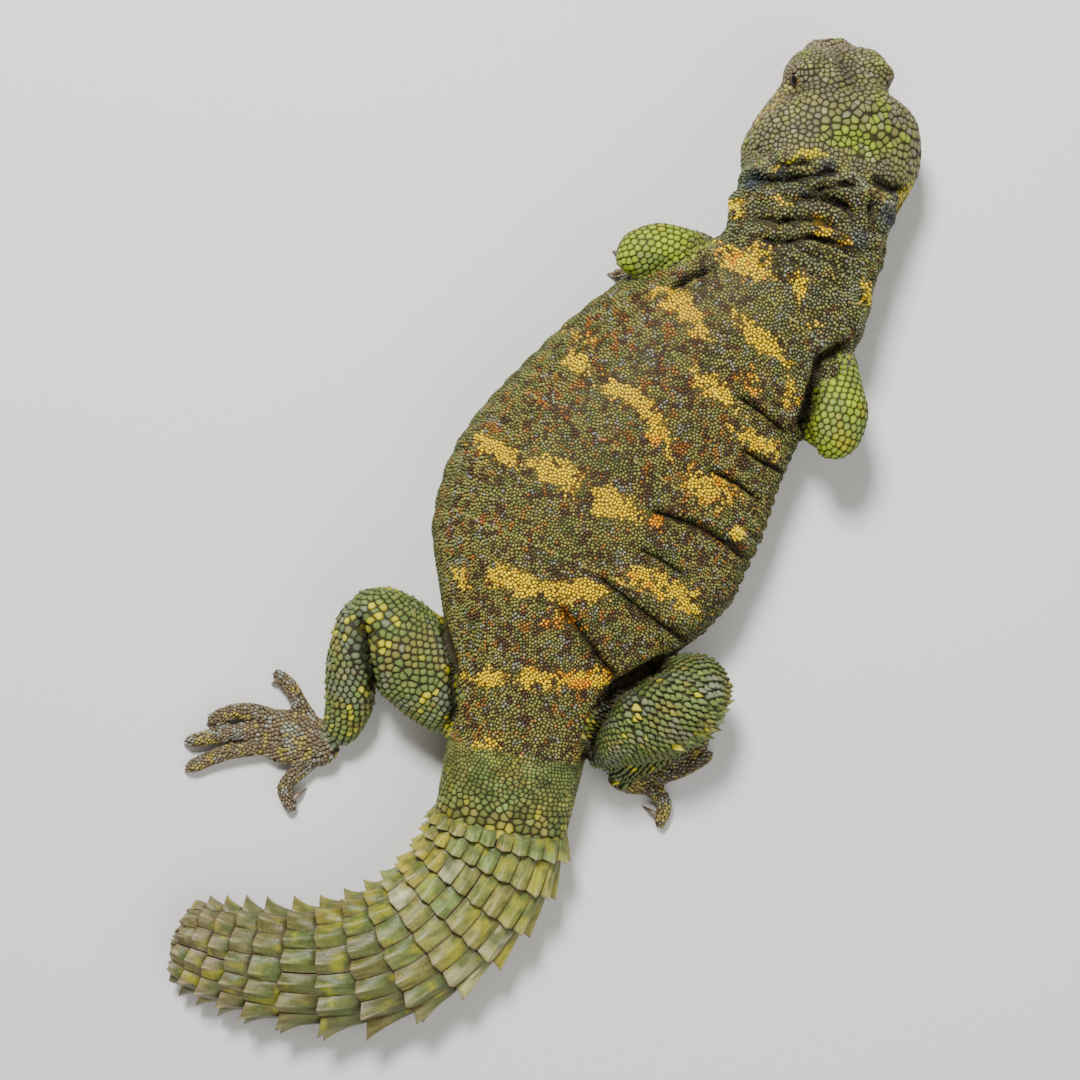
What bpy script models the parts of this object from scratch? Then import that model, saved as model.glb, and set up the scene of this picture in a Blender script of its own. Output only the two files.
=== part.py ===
"""An ornate mastigure (Uromastyx ornata), a spiny-tailed lizard, life size, resting on a level floor.

Head, neck, trunk and tail are one long form: smooth cross-sections along a curved spine, parted by
thin cuts. Each limb is a row of shorter forms cut clear of the piece that it grows from.
Lengths are millimetres until a mesh is made. +Y is ahead, +X is the animal's right, +Z is up.
"""
import math

import bmesh
import bpy
import numpy as np

METRES = 0.001
GAP = 0.3             # clearance between pieces that touch
FLOOR = 0.0
MIDDLE = (0.55, 0.69, 0.0)      # where the middle of the finished animal falls in the stations' frame

# Spine stations: x, y, centre height, half width, rise above the centre, drop below it, roll in degrees.
HEAD_ROLL = 16.0      # the head is tipped, left cheek up
ROLL_SWING = 0.13     # and its low side swings ahead by this share of the tip
BODY = [
    (69.6, 122.9, 8.6, 1.0, 1.0, 1.0, HEAD_ROLL),      # tip of the snout
    (69.6, 122.5, 8.5, 3.3, 3.0, 2.4, HEAD_ROLL),
    (69.7, 121.4, 8.5, 5.2, 5.1, 3.8, HEAD_ROLL),
    (69.9, 119.2, 8.6, 7.0, 7.6, 4.6, HEAD_ROLL),
    (70.0, 116.4, 8.9, 8.9, 10.2, 5.2, HEAD_ROLL),
    (69.9, 112.6, 9.4, 10.8, 13.0, 5.7, HEAD_ROLL),
    (69.8, 108.6, 10.2, 13.3, 14.9, 6.4, HEAD_ROLL),
    (69.7, 104.8, 11.3, 16.5, 15.9, 7.2, HEAD_ROLL),
    (69.7, 101.0, 12.5, 19.3, 16.2, 8.2, HEAD_ROLL),
    (69.8, 96.6, 14.0, 21.8, 16.1, 9.1, HEAD_ROLL),
    (69.7, 92.6, 15.4, 22.1, 15.7, 9.8, 15.0),         # jaw muscles, the widest
    (68.8, 88.6, 16.8, 21.3, 15.1, 10.5, 13.0),
    (67.2, 83.2, 18.6, 19.6, 14.1, 11.6, 10.0),        # nape
    (65.2, 77.4, 19.6, 18.2, 13.4, 12.8, 6.0),
    (62.9, 70.3, 19.0, 18.4, 13.5, 13.6, 3.0),         # neck
    (58.6, 60.0, 17.4, 21.6, 14.5, 12.2, 0.0),
    (49.8, 50.8, 15.2, 25.6, 16.8, 11.8, 0.0),         # shoulders
    (38.6, 40.4, 13.2, 29.8, 19.8, 12.8, 0.0),
    (29.2, 29.2, 12.2, 33.4, 22.2, 12.8, 0.0),
    (21.0, 17.0, 11.8, 36.6, 23.2, 12.4, 0.0),
    (13.2, 4.9, 11.6, 38.2, 23.4, 12.2, 0.0),          # belly, the widest
    (7.0, -8.0, 11.6, 35.6, 22.6, 12.2, 0.0),
    (2.2, -20.0, 11.6, 29.0, 21.0, 12.2, 0.0),
    (-1.6, -30.4, 11.8, 22.2, 18.8, 12.4, 0.0),
    (-3.7, -39.5, 12.0, 18.4, 17.0, 12.6, 0.0),        # hips
    (-5.4, -48.7, 11.6, 17.3, 15.6, 12.0, 0.0),
    (-7.2, -57.5, 10.8, 16.8, 14.2, 11.0, 0.0),        # vent
    (-9.0, -66.0, 10.0, 16.4, 12.8, 10.4, 0.0),
    (-10.8, -73.5, 9.4, 16.2, 11.6, 9.8, 0.0),         # root of the tail
    (-14.0, -80.6, 9.0, 16.2, 11.0, 9.4, 0.0),
    (-18.9, -87.5, 8.6, 16.0, 10.6, 9.0, 0.0),
    (-25.4, -94.2, 8.3, 15.8, 10.2, 8.7, 0.0),
    (-33.9, -100.0, 8.0, 15.4, 9.8, 8.4, 0.0),
    (-45.0, -103.8, 7.6, 14.6, 9.2, 8.0, 0.0),
    (-56.0, -104.9, 7.2, 13.4, 8.4, 7.5, 0.0),
    (-66.0, -104.2, 6.6, 12.3, 7.6, 6.9, 0.0),
    (-75.0, -102.6, 6.0, 11.4, 6.8, 6.3, 0.0),
    (-82.0, -100.8, 5.4, 10.4, 5.9, 5.7, 0.0),
    (-86.6, -99.4, 4.9, 9.0, 4.8, 5.0, 0.0),
    (-88.9, -98.7, 4.4, 6.2, 3.2, 3.4, 0.0),
    (-89.8, -98.4, 4.2, 1.2, 1.2, 1.2, 0.0),           # tip of the tail
]
# How square the sections are above and below their widest line: 2 is an ellipse, more is boxier.
SQUARE_AT = [0.0, 44.0, 68.0, 82.0, 105.0, 185.0, 215.0, 310.0]
SQUARE_TOP = [2.3, 2.3, 2.1, 2.05, 2.05, 2.1, 2.5, 2.5]
SQUARE_BOTTOM = [2.3, 2.4, 2.2, 2.2, 3.0, 3.2, 3.0, 3.0]

# The nodes along the spine: name, where it ends (distance from the snout), rings, points round a ring.
HEAD_END = 43.0
ALONG_THE_SPINE = [
    ("neck", 65.0, 6, 28),
    ("chest", 98.0, 7, 28),
    ("belly", 133.0, 7, 28),
    ("loins", 165.0, 6, 28),
    ("pelvis", 199.2, 6, 24),
]
HEAD_RINGS = [0.0, 0.5, 1.6, 3.2, 5.0, 7.0, 9.2, 11.4, 13.6, 15.8, 18.0, 20.4, 23.0,
              26.0, 29.5, 33.0, 36.5, 40.0]
HEAD_ROUND = 32

# Rings of tail scales: the hind edge of each ring by distance from the snout, a list for each node.
TAIL_START = 199.2
TAIL_RINGS = [[204.6, 209.8, 218.2], [226.6, 234.6, 242.6], [250.8, 259.4, 268.4],
              [277.2, 285.8, 293.6], [299.6, 304.8, 309.2]]
TAIL_ROUND = 16
SCALE_WIDE = 5.2      # across one tail scale
SCALE_GROOVE = 0.35   # bare skin between two scales of a ring
SCALE_TURNS = (-16.0, 196.0)   # the underside has only small flat scales
SCALE_SUNK = 0.9
SCALE_FRONT = 0.1     # a scale rises from its front edge to its keel and its hind edge
SCALE_REAR = 0.75
KEEL = 0.55
SPINE_TOP = (1.5, 0.7)         # spine of a scale on the back: how far out, how far behind the ring
SPINE_SIDE = (3.4, 1.9)        # and on the tail's sides
SPINE_AT_CUT = 0.9    # a spine reaches no farther than this over the cut behind its piece
SPINE_SHARE_AT = [204.6, 218.2, 227.2, 291.2, 309.2]
SPINE_SHARE = [0.1, 0.55, 1.0, 1.0, 0.6]       # spines are short at the root and the tip of the tail

# Spines of the hind legs: rows of cones on the thigh and shin.
SPINE_WIDE = 1.05     # half width at the skin
SPINE_HIGH = 1.9
SPINE_SUNK = 0.9
SPINE_LEAN = 0.7      # how far its point leans along the limb
SPINE_SIDES = 5
THIGH_SPINES = {"left": [(t, turn) for t in (13, 18, 23, 28, 33) for turn in (55, 100, 145, 190)],
                "right": [(t, turn) for t in (8, 13, 18, 23, 28) for turn in (350, 35, 80, 125)]}
SHIN_SPINES = {"left": [(t, turn) for t in (7, 13, 19, 25, 31) for turn in (40, 95, 150)],
               "right": [(t, turn) for t in (8, 14, 20) for turn in (320, 0)]}

# Features of the head: distance from the snout and turn, then half lengths ahead, in depth and up.
EYE, EYE_HALF = (12.3, 29.0), (2.5, 1.7, 1.7)
EYE_DEEP = 1.35                     # how far the eyeball's middle lies under the lids' surface
EAR, EAR_HALF = (37.4, 25.0), (1.3, 2.0, 3.4)
NOSTRIL, NOSTRIL_HALF = (4.2, 32.0), (0.9, 1.3, 0.75)
MOUTH_LINE = [(1.2, -1.0), (4.0, -0.2), (8.0, 0.3), (12.0, 0.5), (16.0, 0.3), (20.0, 0.0), (23.5, 1.0)]
MOUTH_DEPTH = 1.0
MOUTH_OPEN = 0.5

# Limbs: x, y, height of the centre, half width, half height.
UPPER_ARM_LEFT = [(44.3, 67.0, 17.5, 4.0, 4.4), (38.3, 69.3, 19.0, 4.5, 4.6), (33.5, 70.2, 20.2, 5.0, 5.0),
                  (27.6, 70.0, 21.0, 5.9, 5.3), (23.5, 68.5, 21.0, 5.9, 5.2), (20.1, 67.2, 20.6, 3.9, 3.8),
                  (18.5, 66.7, 20.4, 1.0, 1.0)]
FOREARM_LEFT = [(23.8, 68.2, 18.5, 3.6, 3.6), (25.4, 67.4, 15.5, 4.4, 4.4), (28.6, 66.0, 11.5, 3.7, 3.9),
                (31.4, 64.8, 8.0, 2.9, 3.0), (33.6, 63.8, 5.4, 2.6, 2.6), (34.6, 63.3, 4.2, 1.4, 1.4)]
UPPER_ARM_RIGHT = [(69.5, 47.5, 17.0, 3.8, 4.2), (72.6, 41.0, 18.6, 4.0, 4.4), (72.4, 36.2, 20.4, 5.3, 5.0),
                   (71.8, 30.5, 21.6, 6.9, 5.5), (70.6, 25.6, 21.4, 6.6, 5.3), (68.8, 21.8, 20.9, 4.3, 4.0),
                   (67.7, 20.2, 20.6, 1.0, 1.0)]
FOREARM_RIGHT = [(69.6, 25.8, 18.5, 3.6, 3.6), (68.6, 26.2, 15.5, 4.4, 4.4), (67.0, 27.0, 11.5, 3.7, 3.9),
                 (65.4, 27.8, 8.0, 2.9, 3.0), (64.2, 28.4, 5.4, 2.6, 2.6), (63.8, 28.6, 4.2, 1.4, 1.4)]
THIGH_LEFT = [(-15.0, -38.8, 13.5, 10.0, 8.0), (-22.6, -35.4, 14.0, 11.6, 8.8), (-30.2, -28.9, 14.6, 11.8, 8.8),
              (-36.0, -22.9, 15.0, 11.0, 8.2), (-39.6, -18.2, 15.2, 8.8, 6.8), (-42.2, -14.9, 15.0, 5.6, 4.6),
              (-43.8, -12.8, 14.8, 1.0, 1.0)]
SHIN_LEFT = [(-42.4, -16.0, 13.5, 3.4, 3.4), (-44.2, -19.0, 14.0, 4.6, 4.8), (-45.6, -24.5, 13.6, 5.1, 5.2),
             (-46.6, -31.0, 12.0, 5.6, 5.4), (-46.4, -37.5, 9.8, 6.1, 5.4), (-47.8, -43.2, 7.6, 5.4, 4.6),
             (-50.2, -47.4, 5.6, 4.3, 3.6), (-51.8, -49.2, 4.6, 2.2, 2.0)]
THIGH_RIGHT = [(10.5, -45.6, 14.5, 10.0, 8.2), (19.3, -43.5, 15.8, 11.3, 9.0), (26.6, -41.5, 17.0, 11.6, 9.0),
               (33.3, -38.9, 17.8, 11.0, 8.4), (38.6, -36.4, 17.8, 9.6, 7.4), (41.8, -35.2, 17.4, 7.4, 5.8),
               (44.2, -34.6, 17.0, 4.2, 3.4), (45.2, -34.3, 16.8, 1.0, 1.0)]
SHIN_RIGHT = [(42.0, -36.2, 12.5, 2.4, 2.4), (40.4, -38.6, 11.2, 5.2, 4.8), (36.6, -43.0, 9.6, 5.7, 5.3),
              (31.0, -48.0, 8.6, 5.7, 5.2), (25.0, -52.4, 7.6, 5.2, 4.8), (19.8, -55.6, 6.6, 4.2, 4.0),
              (17.4, -57.0, 6.0, 2.2, 2.2)]

# Feet: the sole's stations as for limbs, then the toes, inner to outer, as points on the
# floor plan: root, two joints, end of the flesh and tip of the claw.
FOOT_LEFT = [(-50.6, -49.8, 5.4, 3.4, 2.8), (-54.0, -50.2, 4.3, 5.8, 3.4), (-60.0, -49.2, 3.4, 7.0, 3.0),
             (-65.0, -48.5, 2.8, 6.8, 2.4), (-68.8, -48.2, 2.4, 5.2, 1.9), (-70.2, -48.2, 2.2, 2.0, 1.0)]
TOES_LEFT = [
    [(-57.4, -44.6), (-60.3, -39.4), (-62.4, -36.0), (-64.2, -34.4), (-67.0, -36.0)],
    [(-64.0, -45.4), (-70.4, -42.6), (-76.0, -42.6), (-80.2, -44.0), (-83.2, -46.0)],
    [(-66.0, -47.0), (-74.0, -47.4), (-80.6, -48.5), (-85.8, -49.8), (-88.8, -51.2)],
    [(-65.5, -50.8), (-74.0, -52.0), (-80.8, -53.8), (-85.8, -56.0), (-88.6, -58.0)],
    [(-54.6, -52.6), (-60.2, -57.8), (-63.4, -62.0), (-62.4, -65.2), (-58.2, -61.8)],
]
FOOT_RIGHT = [(17.6, -57.0, 5.0, 3.0, 2.6), (20.4, -57.6, 4.2, 4.6, 3.2), (24.2, -58.2, 3.2, 5.2, 2.7),
              (27.8, -58.4, 2.6, 4.8, 2.2), (30.2, -58.2, 2.3, 3.4, 1.8), (31.2, -58.1, 2.2, 1.2, 0.9)]
TOES_RIGHT = [
    [(23.4, -55.6), (26.0, -52.6), (27.8, -51.0), (29.6, -49.6), (32.2, -47.6)],
    [(25.6, -56.0), (29.6, -53.2), (32.4, -51.6), (35.2, -50.4), (38.3, -49.2)],
    [(27.0, -57.0), (32.2, -54.9), (36.0, -53.0), (39.6, -50.9), (42.4, -49.4)],
    [(27.4, -58.8), (32.4, -58.0), (36.6, -56.4), (40.4, -54.4), (43.2, -53.0)],
    [(24.0, -60.4), (28.2, -62.2), (30.8, -65.6), (30.2, -69.0), (25.6, -66.4)],
]
# Hands: the wrist's place and the way the middle finger points, in degrees from +X towards +Y.
HANDS = {"left": (34.8, 63.2, 152.0), "right": (63.8, 28.5, 58.0)}
PALM = [(0.0, 4.6, 2.4, 2.2), (2.2, 3.9, 4.0, 2.8), (5.2, 3.1, 4.8, 2.5), (7.8, 2.6, 3.8, 2.0),
        (9.2, 2.3, 1.4, 1.0)]       # distance ahead, height, half width, half height
PALM_MIDDLE = 4.0
FINGER_SPREAD = [48.0, 23.0, 0.0, -23.0, -48.0]       # degrees towards the body, thumb first
FINGER_REACH = [6.6, 8.8, 9.6, 9.2, 7.6]
FINGER_ROOT = 2.2                                      # how far each finger starts from the palm's middle
TOE_HEIGHTS = [2.5, 3.0, 2.5, 1.9]
TOE_THICK = [2.3, 2.05, 1.95, 1.6]
FINGER_SLIM = 0.82
FINGER_CLAW = 3.2
CLAW_THICK = 0.95


def natural_spline(keys, rows):
    """A smooth function through rows given at rising keys."""
    keys, rows = np.array(keys, float), np.array(rows, float)
    count, step = len(keys), np.diff(keys)
    matrix, right = np.eye(count), np.zeros_like(rows)
    for i in range(1, count - 1):
        matrix[i, i - 1:i + 2] = step[i - 1], 2 * (step[i - 1] + step[i]), step[i]
        right[i] = 6 * ((rows[i + 1] - rows[i]) / step[i] - (rows[i] - rows[i - 1]) / step[i - 1])
    bend = np.linalg.solve(matrix, right)

    def at(where):
        where = np.clip(where, keys[0], keys[-1])
        i = np.clip(np.searchsorted(keys, where, side="right") - 1, 0, count - 2)
        h = step[i][:, None]
        a, b = (keys[i + 1] - where)[:, None] / h, (where - keys[i])[:, None] / h
        straight = a * rows[i] + b * rows[i + 1]
        return straight + ((a ** 3 - a) * bend[i] + (b ** 3 - b) * bend[i + 1]) * h * h / 6

    return at


def even_curve(keys, rows):
    """A smooth function through rows that never swings past them (monotone cubic)."""
    keys, rows = np.array(keys, float), np.array(rows, float)
    step = np.diff(keys)[:, None]
    slope = np.diff(rows, axis=0) / step
    inner = np.where(slope[:-1] * slope[1:] > 0,
                     2 * slope[:-1] * slope[1:] / np.where(slope[:-1] + slope[1:] == 0, 1, slope[:-1] + slope[1:]), 0)
    tangent = np.vstack([slope[:1], inner, slope[-1:]])

    def at(where):
        where = np.clip(where, keys[0], keys[-1])
        i = np.clip(np.searchsorted(keys, where, side="right") - 1, 0, len(keys) - 2)
        h = step[i]
        u = (where - keys[i])[:, None] / h
        return ((2 * u ** 3 - 3 * u ** 2 + 1) * rows[i] + (u ** 3 - 2 * u ** 2 + u) * h * tangent[i]
                + (3 * u ** 2 - 2 * u ** 3) * rows[i + 1] + (u ** 3 - u ** 2) * h * tangent[i + 1])

    return at


class Form:
    """Cross-sections along a centre line. A point on it is named by t, the distance along, and a turn."""

    def __init__(self, stations, square=None, relief=None):
        rows = np.array(stations, float)
        if rows.shape[1] == 5:      # a limb: rise and drop are both the half height, with no roll
            rows = np.column_stack([rows, rows[:, 4], np.zeros(len(rows))])
        steps = np.linalg.norm(np.diff(rows[:, :3], axis=0), axis=1)
        self.keys = np.concatenate([[0], np.cumsum(steps)])
        self.length = self.keys[-1]
        self.centre = natural_spline(self.keys, rows[:, :3])
        self.sizes = even_curve(self.keys, rows[:, 3:])
        self.square = square
        self.relief = relief

    def axes(self, t):
        """Centre, sideways (the animal's right on the body), up and tangent at each t."""
        nudge = 0.05
        ahead, behind = np.minimum(t + nudge, self.length), np.maximum(t - nudge, 0)
        tangent = self.centre(ahead) - self.centre(behind)
        tangent /= np.linalg.norm(tangent, axis=1)[:, None]
        side = np.cross([0.0, 0.0, 1.0], tangent)
        side /= np.linalg.norm(side, axis=1)[:, None]
        up = np.cross(tangent, side)
        roll = np.radians(self.sizes(t)[:, 3:4])
        low_side = side * np.cos(roll) - (np.array([0.0, 0.0, 1.0]) + tangent * ROLL_SWING) * np.sin(roll)
        return self.centre(t), low_side, up * np.cos(roll) + side * np.sin(roll), tangent

    def at(self, t, turn, out=0.0):
        """Surface points. turn is in degrees: 0 the right side, 90 the top, 180 the left, 270 below."""
        t, turn = np.broadcast_arrays(np.atleast_1d(np.asarray(t, float)), np.asarray(turn, float))
        centre, side, up, _ = self.axes(t)
        width, rise, drop = self.sizes(t)[:, :3].T
        c, s = np.cos(np.radians(turn)), np.sin(np.radians(turn))
        if self.square:
            keys, top, bottom = self.square
            power = np.where(s > 0, np.interp(t, keys, top), np.interp(t, keys, bottom))
        else:
            power = 2.0
        across = width * np.sign(c) * np.abs(c) ** (2 / power)
        height = np.where(s > 0, rise, drop)
        over = height * np.sign(s) * np.abs(s) ** (2 / power)
        lift = out + (self.relief(t, turn) if self.relief else 0.0)
        slant = np.stack([c / width, s / height], axis=1)
        slant /= np.linalg.norm(slant, axis=1)[:, None]
        across, over = across + slant[:, 0] * lift, over + slant[:, 1] * lift
        points = centre + side * across[:, None] + up * over[:, None]
        points[:, 2] = np.maximum(points[:, 2], FLOOR)
        return points

    def inside(self, where):
        """A point by distance along, sideways and height from the section's centre, and the axes there."""
        t, sideways, height = where
        centre, side, up, tangent = (v[0] for v in self.axes(np.array([float(t)])))
        return centre + side * sideways + up * height, side, up, tangent


def bump(t, turn, at_t, at_turn, long, wide, height):
    """A smooth swelling, the same on both sides of the body."""
    along = ((t - at_t) / long) ** 2
    right, left = ((turn - at_turn) / wide) ** 2, ((180 - turn - at_turn) / wide) ** 2
    return height * (np.exp(-along - right) + np.exp(-along - left))


def head_relief(t, turn):
    """Brows, snout, temples and the furrows between them, standing out from the plain head."""
    turn = (turn + 90) % 360 - 90
    made = bump(t, turn, 10.9, 36, 4.7, 21, 4.4)            # lids and brow of each eye
    made += bump(t, turn, 5.6, 66, 2.4, 14, -0.4)           # dip ahead of the brow
    made += bump(t, turn, 4.4, 38, 2.2, 14, 0.5)            # raised rim of each nostril
    made += bump(t, turn, 19.6, 38, 2.8, 16, -0.9)          # hollow behind each eye
    made += bump(t, turn, 30.0, 26, 6.0, 20, 0.4)           # jaw muscle
    made -= 1.3 * np.exp(-((t - 14) / 7) ** 2 - ((turn - 90) / 13) ** 2)   # furrow between the brows
    made += 0.6 * np.exp(-((t - 26) / 5) ** 2 - ((turn - 90) / 20) ** 2)   # back of the crown
    return made


BODY_FORM = Form(BODY, (SQUARE_AT, SQUARE_TOP, SQUARE_BOTTOM), head_relief)


def mesh_object(name, points, faces):
    """A mesh object from points in millimetres, linked to the scene."""
    mesh = bpy.data.meshes.new(name)
    mesh.from_pydata(((np.asarray(points, float) - MIDDLE) * METRES).tolist(), [], faces)
    made = bpy.data.objects.new(name, mesh)
    bpy.context.scene.collection.objects.link(made)
    return made


def closed_rings(rings):
    """Points and faces of a closed skin over rings of equal count, the first and last filled."""
    count, around = len(rings), len(rings[0])
    faces = [tuple(range(around))[::-1]]
    for i in range(count - 1):
        for j in range(around):
            k = (j + 1) % around
            faces.append((i * around + j, i * around + k, (i + 1) * around + k, (i + 1) * around + j))
    faces.append(tuple((count - 1) * around + j for j in range(around)))
    return np.vstack(rings), faces


def form_piece(name, form, stops, around):
    """The stretch of a form through the given distances, as one closed body."""
    turns = np.arange(around) * 360.0 / around
    return mesh_object(name, *closed_rings([form.at(np.full(around, t), turns) for t in stops]))


def ellipsoid(name, centre, axes, half, rings=8, around=12):
    """An ellipsoid with its three half lengths along three directions."""
    points = []
    for i in range(1, rings):
        tilt = math.pi * i / rings
        for j in range(around):
            turn = 2 * math.pi * j / around
            points.append((math.sin(tilt) * math.cos(turn), math.sin(tilt) * math.sin(turn), math.cos(tilt)))
    points = [(0, 0, 1)] + points + [(0, 0, -1)]
    last = len(points) - 1
    faces = [(0, 1 + j, 1 + (j + 1) % around) for j in range(around)]
    for i in range(rings - 2):
        for j in range(around):
            a, b = 1 + i * around + j, 1 + i * around + (j + 1) % around
            faces.append((a, a + around, b + around, b))
    faces += [(last, last - around + (j + 1) % around, last - around + j) for j in range(around)]
    frame = np.array([np.asarray(axis) * size for axis, size in zip(axes, half)])
    made = mesh_object(name, np.asarray(centre) + np.array(points) @ frame, faces)
    return outward(made)


def outward(piece):
    """Turns every face outward."""
    work = bmesh.new()
    work.from_mesh(piece.data)
    bmesh.ops.recalc_face_normals(work, faces=work.faces)
    work.to_mesh(piece.data)
    work.free()
    return piece


def settle(piece):
    """Applies the modifiers and keeps the largest closed surface."""
    bpy.context.view_layer.update()
    graph = bpy.context.evaluated_depsgraph_get()
    mesh = bpy.data.meshes.new_from_object(piece.evaluated_get(graph))
    piece.modifiers.clear()
    piece.data = mesh
    work = bmesh.new()
    work.from_mesh(mesh)
    bmesh.ops.triangulate(work, faces=work.faces)
    bmesh.ops.dissolve_degenerate(work, edges=work.edges, dist=1e-7)
    unseen, shells = set(work.verts), []
    while unseen:
        edge_of_shell, shell = [unseen.pop()], set()
        while edge_of_shell:
            vertex = edge_of_shell.pop()
            shell.add(vertex)
            for edge in vertex.link_edges:
                other = edge.other_vert(vertex)
                if other in unseen:
                    unseen.discard(other)
                    edge_of_shell.append(other)
        shells.append(shell)
    largest = max(shells, key=len)
    bmesh.ops.delete(work, geom=[v for v in work.verts if v not in largest], context="VERTS")
    work.to_mesh(mesh)
    work.free()
    return piece


def joined(piece, others):
    """Fuses closed pieces into one by a Boolean union, then removes them."""
    group = bpy.data.collections.new("joining")
    bpy.context.scene.collection.children.link(group)
    for other in others:
        bpy.context.scene.collection.objects.unlink(other)
        group.objects.link(other)
    union = piece.modifiers.new("join", "BOOLEAN")
    union.operation = "UNION"
    union.operand_type = "COLLECTION"
    union.collection = group
    union.solver = "EXACT"
    settle(piece)
    for other in others:
        bpy.data.objects.remove(other)
    bpy.data.collections.remove(group)
    return piece


def carved(piece, cutters):
    """Takes the cutters' shapes out of a piece, then removes the cutters."""
    for cutter in cutters:
        cut = piece.modifiers.new("carve", "BOOLEAN")
        cut.operation = "DIFFERENCE"
        cut.solver = "EXACT"
        cut.object = cutter
        settle(piece)
        bpy.data.objects.remove(cutter)
    return piece


def swollen_copy(piece, by=GAP):
    """A copy of a piece with its whole surface moved out, to cut its neighbours clear of it."""
    copy = bpy.data.objects.new("clearance", piece.data.copy())
    bpy.context.scene.collection.objects.link(copy)
    normals = np.array([v.normal for v in copy.data.vertices])
    for vertex, normal in zip(copy.data.vertices, normals):
        for i in range(3):
            vertex.co[i] += normal[i] * by * METRES
    return copy


def cleared(piece, *neighbours):
    """Cuts a piece back from its neighbours, leaving the usual gap."""
    return carved(piece, [swollen_copy(other) for other in neighbours])


def spine_stops(start, end, count):
    """Ring distances of one length of the body, half a gap short of each cut."""
    return np.linspace(start + GAP / 2, end - GAP / 2, count)


def even_turns(form, t, start, end, pieces):
    """Turns that cut one stretch of a cross-section into lengths of equal arc."""
    turns = np.linspace(start, end, 200)
    points = form.at(np.full(len(turns), t), turns)
    arc = np.concatenate([[0], np.cumsum(np.linalg.norm(np.diff(points, axis=0), axis=1))])
    return np.interp(np.linspace(0, arc[-1], pieces + 1), arc, turns), arc[-1]


def tail_scale(form, front, rear, right, left, room):
    """One keeled scale of the tail: a wedge that rises to its hind edge and ends in a spine."""
    middle = (right + left) / 2
    sideways = abs(math.cos(math.radians(middle))) ** 3
    share = float(np.interp(rear, SPINE_SHARE_AT, SPINE_SHARE))
    out, behind = (top + (side - top) * sideways for top, side in zip(SPINE_TOP, SPINE_SIDE))
    out = SCALE_REAR + 0.1 + (out - SCALE_REAR) * share
    behind = min(behind * share, room)
    places = [
        (front, right, -SCALE_SUNK), (front, left, -SCALE_SUNK), (rear, left, -SCALE_SUNK),
        (rear, right, -SCALE_SUNK), (front, right, SCALE_FRONT), (front, left, SCALE_FRONT),
        (rear, left, SCALE_REAR), (rear, right, SCALE_REAR),
        (front + (rear - front) * 0.35, middle, SCALE_REAR * 0.5 + KEEL), (rear + behind, middle, out),
    ]
    t, turn, lift = np.array(places).T
    points = form.at(np.minimum(t, form.length - 0.3), turn, lift)
    faces = [(3, 2, 1, 0), (0, 1, 5, 4), (1, 2, 6, 5), (3, 0, 4, 7), (4, 5, 8), (5, 6, 8), (6, 9, 8),
             (9, 7, 8), (7, 4, 8), (2, 3, 9), (2, 9, 6), (3, 7, 9)]
    return outward(mesh_object("scale", points, faces))


def tail_ring(form, front, rear, room):
    """The keeled scales of one ring, and how far their spines may reach behind it."""
    _, arc = even_turns(form, (front + rear) / 2, *SCALE_TURNS, 1)
    count = max(round(arc / SCALE_WIDE), 4)
    turns, _ = even_turns(form, (front + rear) / 2, *SCALE_TURNS, count)
    half_groove = SCALE_GROOVE / 2 * (turns[-1] - turns[0]) / arc
    return [tail_scale(form, front, rear, a + half_groove, b - half_groove, room)
            for a, b in zip(turns, turns[1:])]


def tail_piece(name, form, start, rings, last):
    """One length of the tail with its rings of scales; the last one ends in the blunt tip."""
    end = form.length if last else rings[-1]
    stops = [start + GAP / 2]
    for front, rear in zip([start] + rings, rings):
        stops += [(front + rear) / 2, rear]
    stops[-1] = rings[-1] - GAP / 2
    if last:
        stops += [(rings[-1] + end) / 2, end - 1.2, end - 0.3]
    piece = form_piece(name, form, stops, TAIL_ROUND)
    scales = []
    for i, (front, rear) in enumerate(zip([start] + rings, rings)):
        at_cut = rear == rings[-1] and not last
        hind = rear - GAP if at_cut else rear - 0.1
        scales += tail_ring(form, front + GAP / 2 + 0.1, hind, SPINE_AT_CUT if at_cut else math.inf)
    return joined(piece, scales)


def cone(form, t, turn):
    """A short spine on a limb, leaning along it, with its root sunk in."""
    foot, crown = (form.at(t, turn, lift)[0] for lift in (-SPINE_SUNK, SPINE_HIGH))
    ahead = form.at(t + 0.8, turn)[0] - form.at(t - 0.8, turn)[0]
    ahead /= np.linalg.norm(ahead)
    out = crown - foot
    across = np.cross(out, ahead)
    across /= np.linalg.norm(across)
    points = []
    for i in range(SPINE_SIDES):
        way = 2 * math.pi * i / SPINE_SIDES
        points.append(foot + SPINE_WIDE * (math.cos(way) * ahead + math.sin(way) * across))
    points.append(crown + ahead * SPINE_LEAN)
    faces = [tuple(range(SPINE_SIDES))[::-1]]
    faces += [(i, (i + 1) % SPINE_SIDES, SPINE_SIDES) for i in range(SPINE_SIDES)]
    return outward(mesh_object("spine", points, faces))


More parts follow.
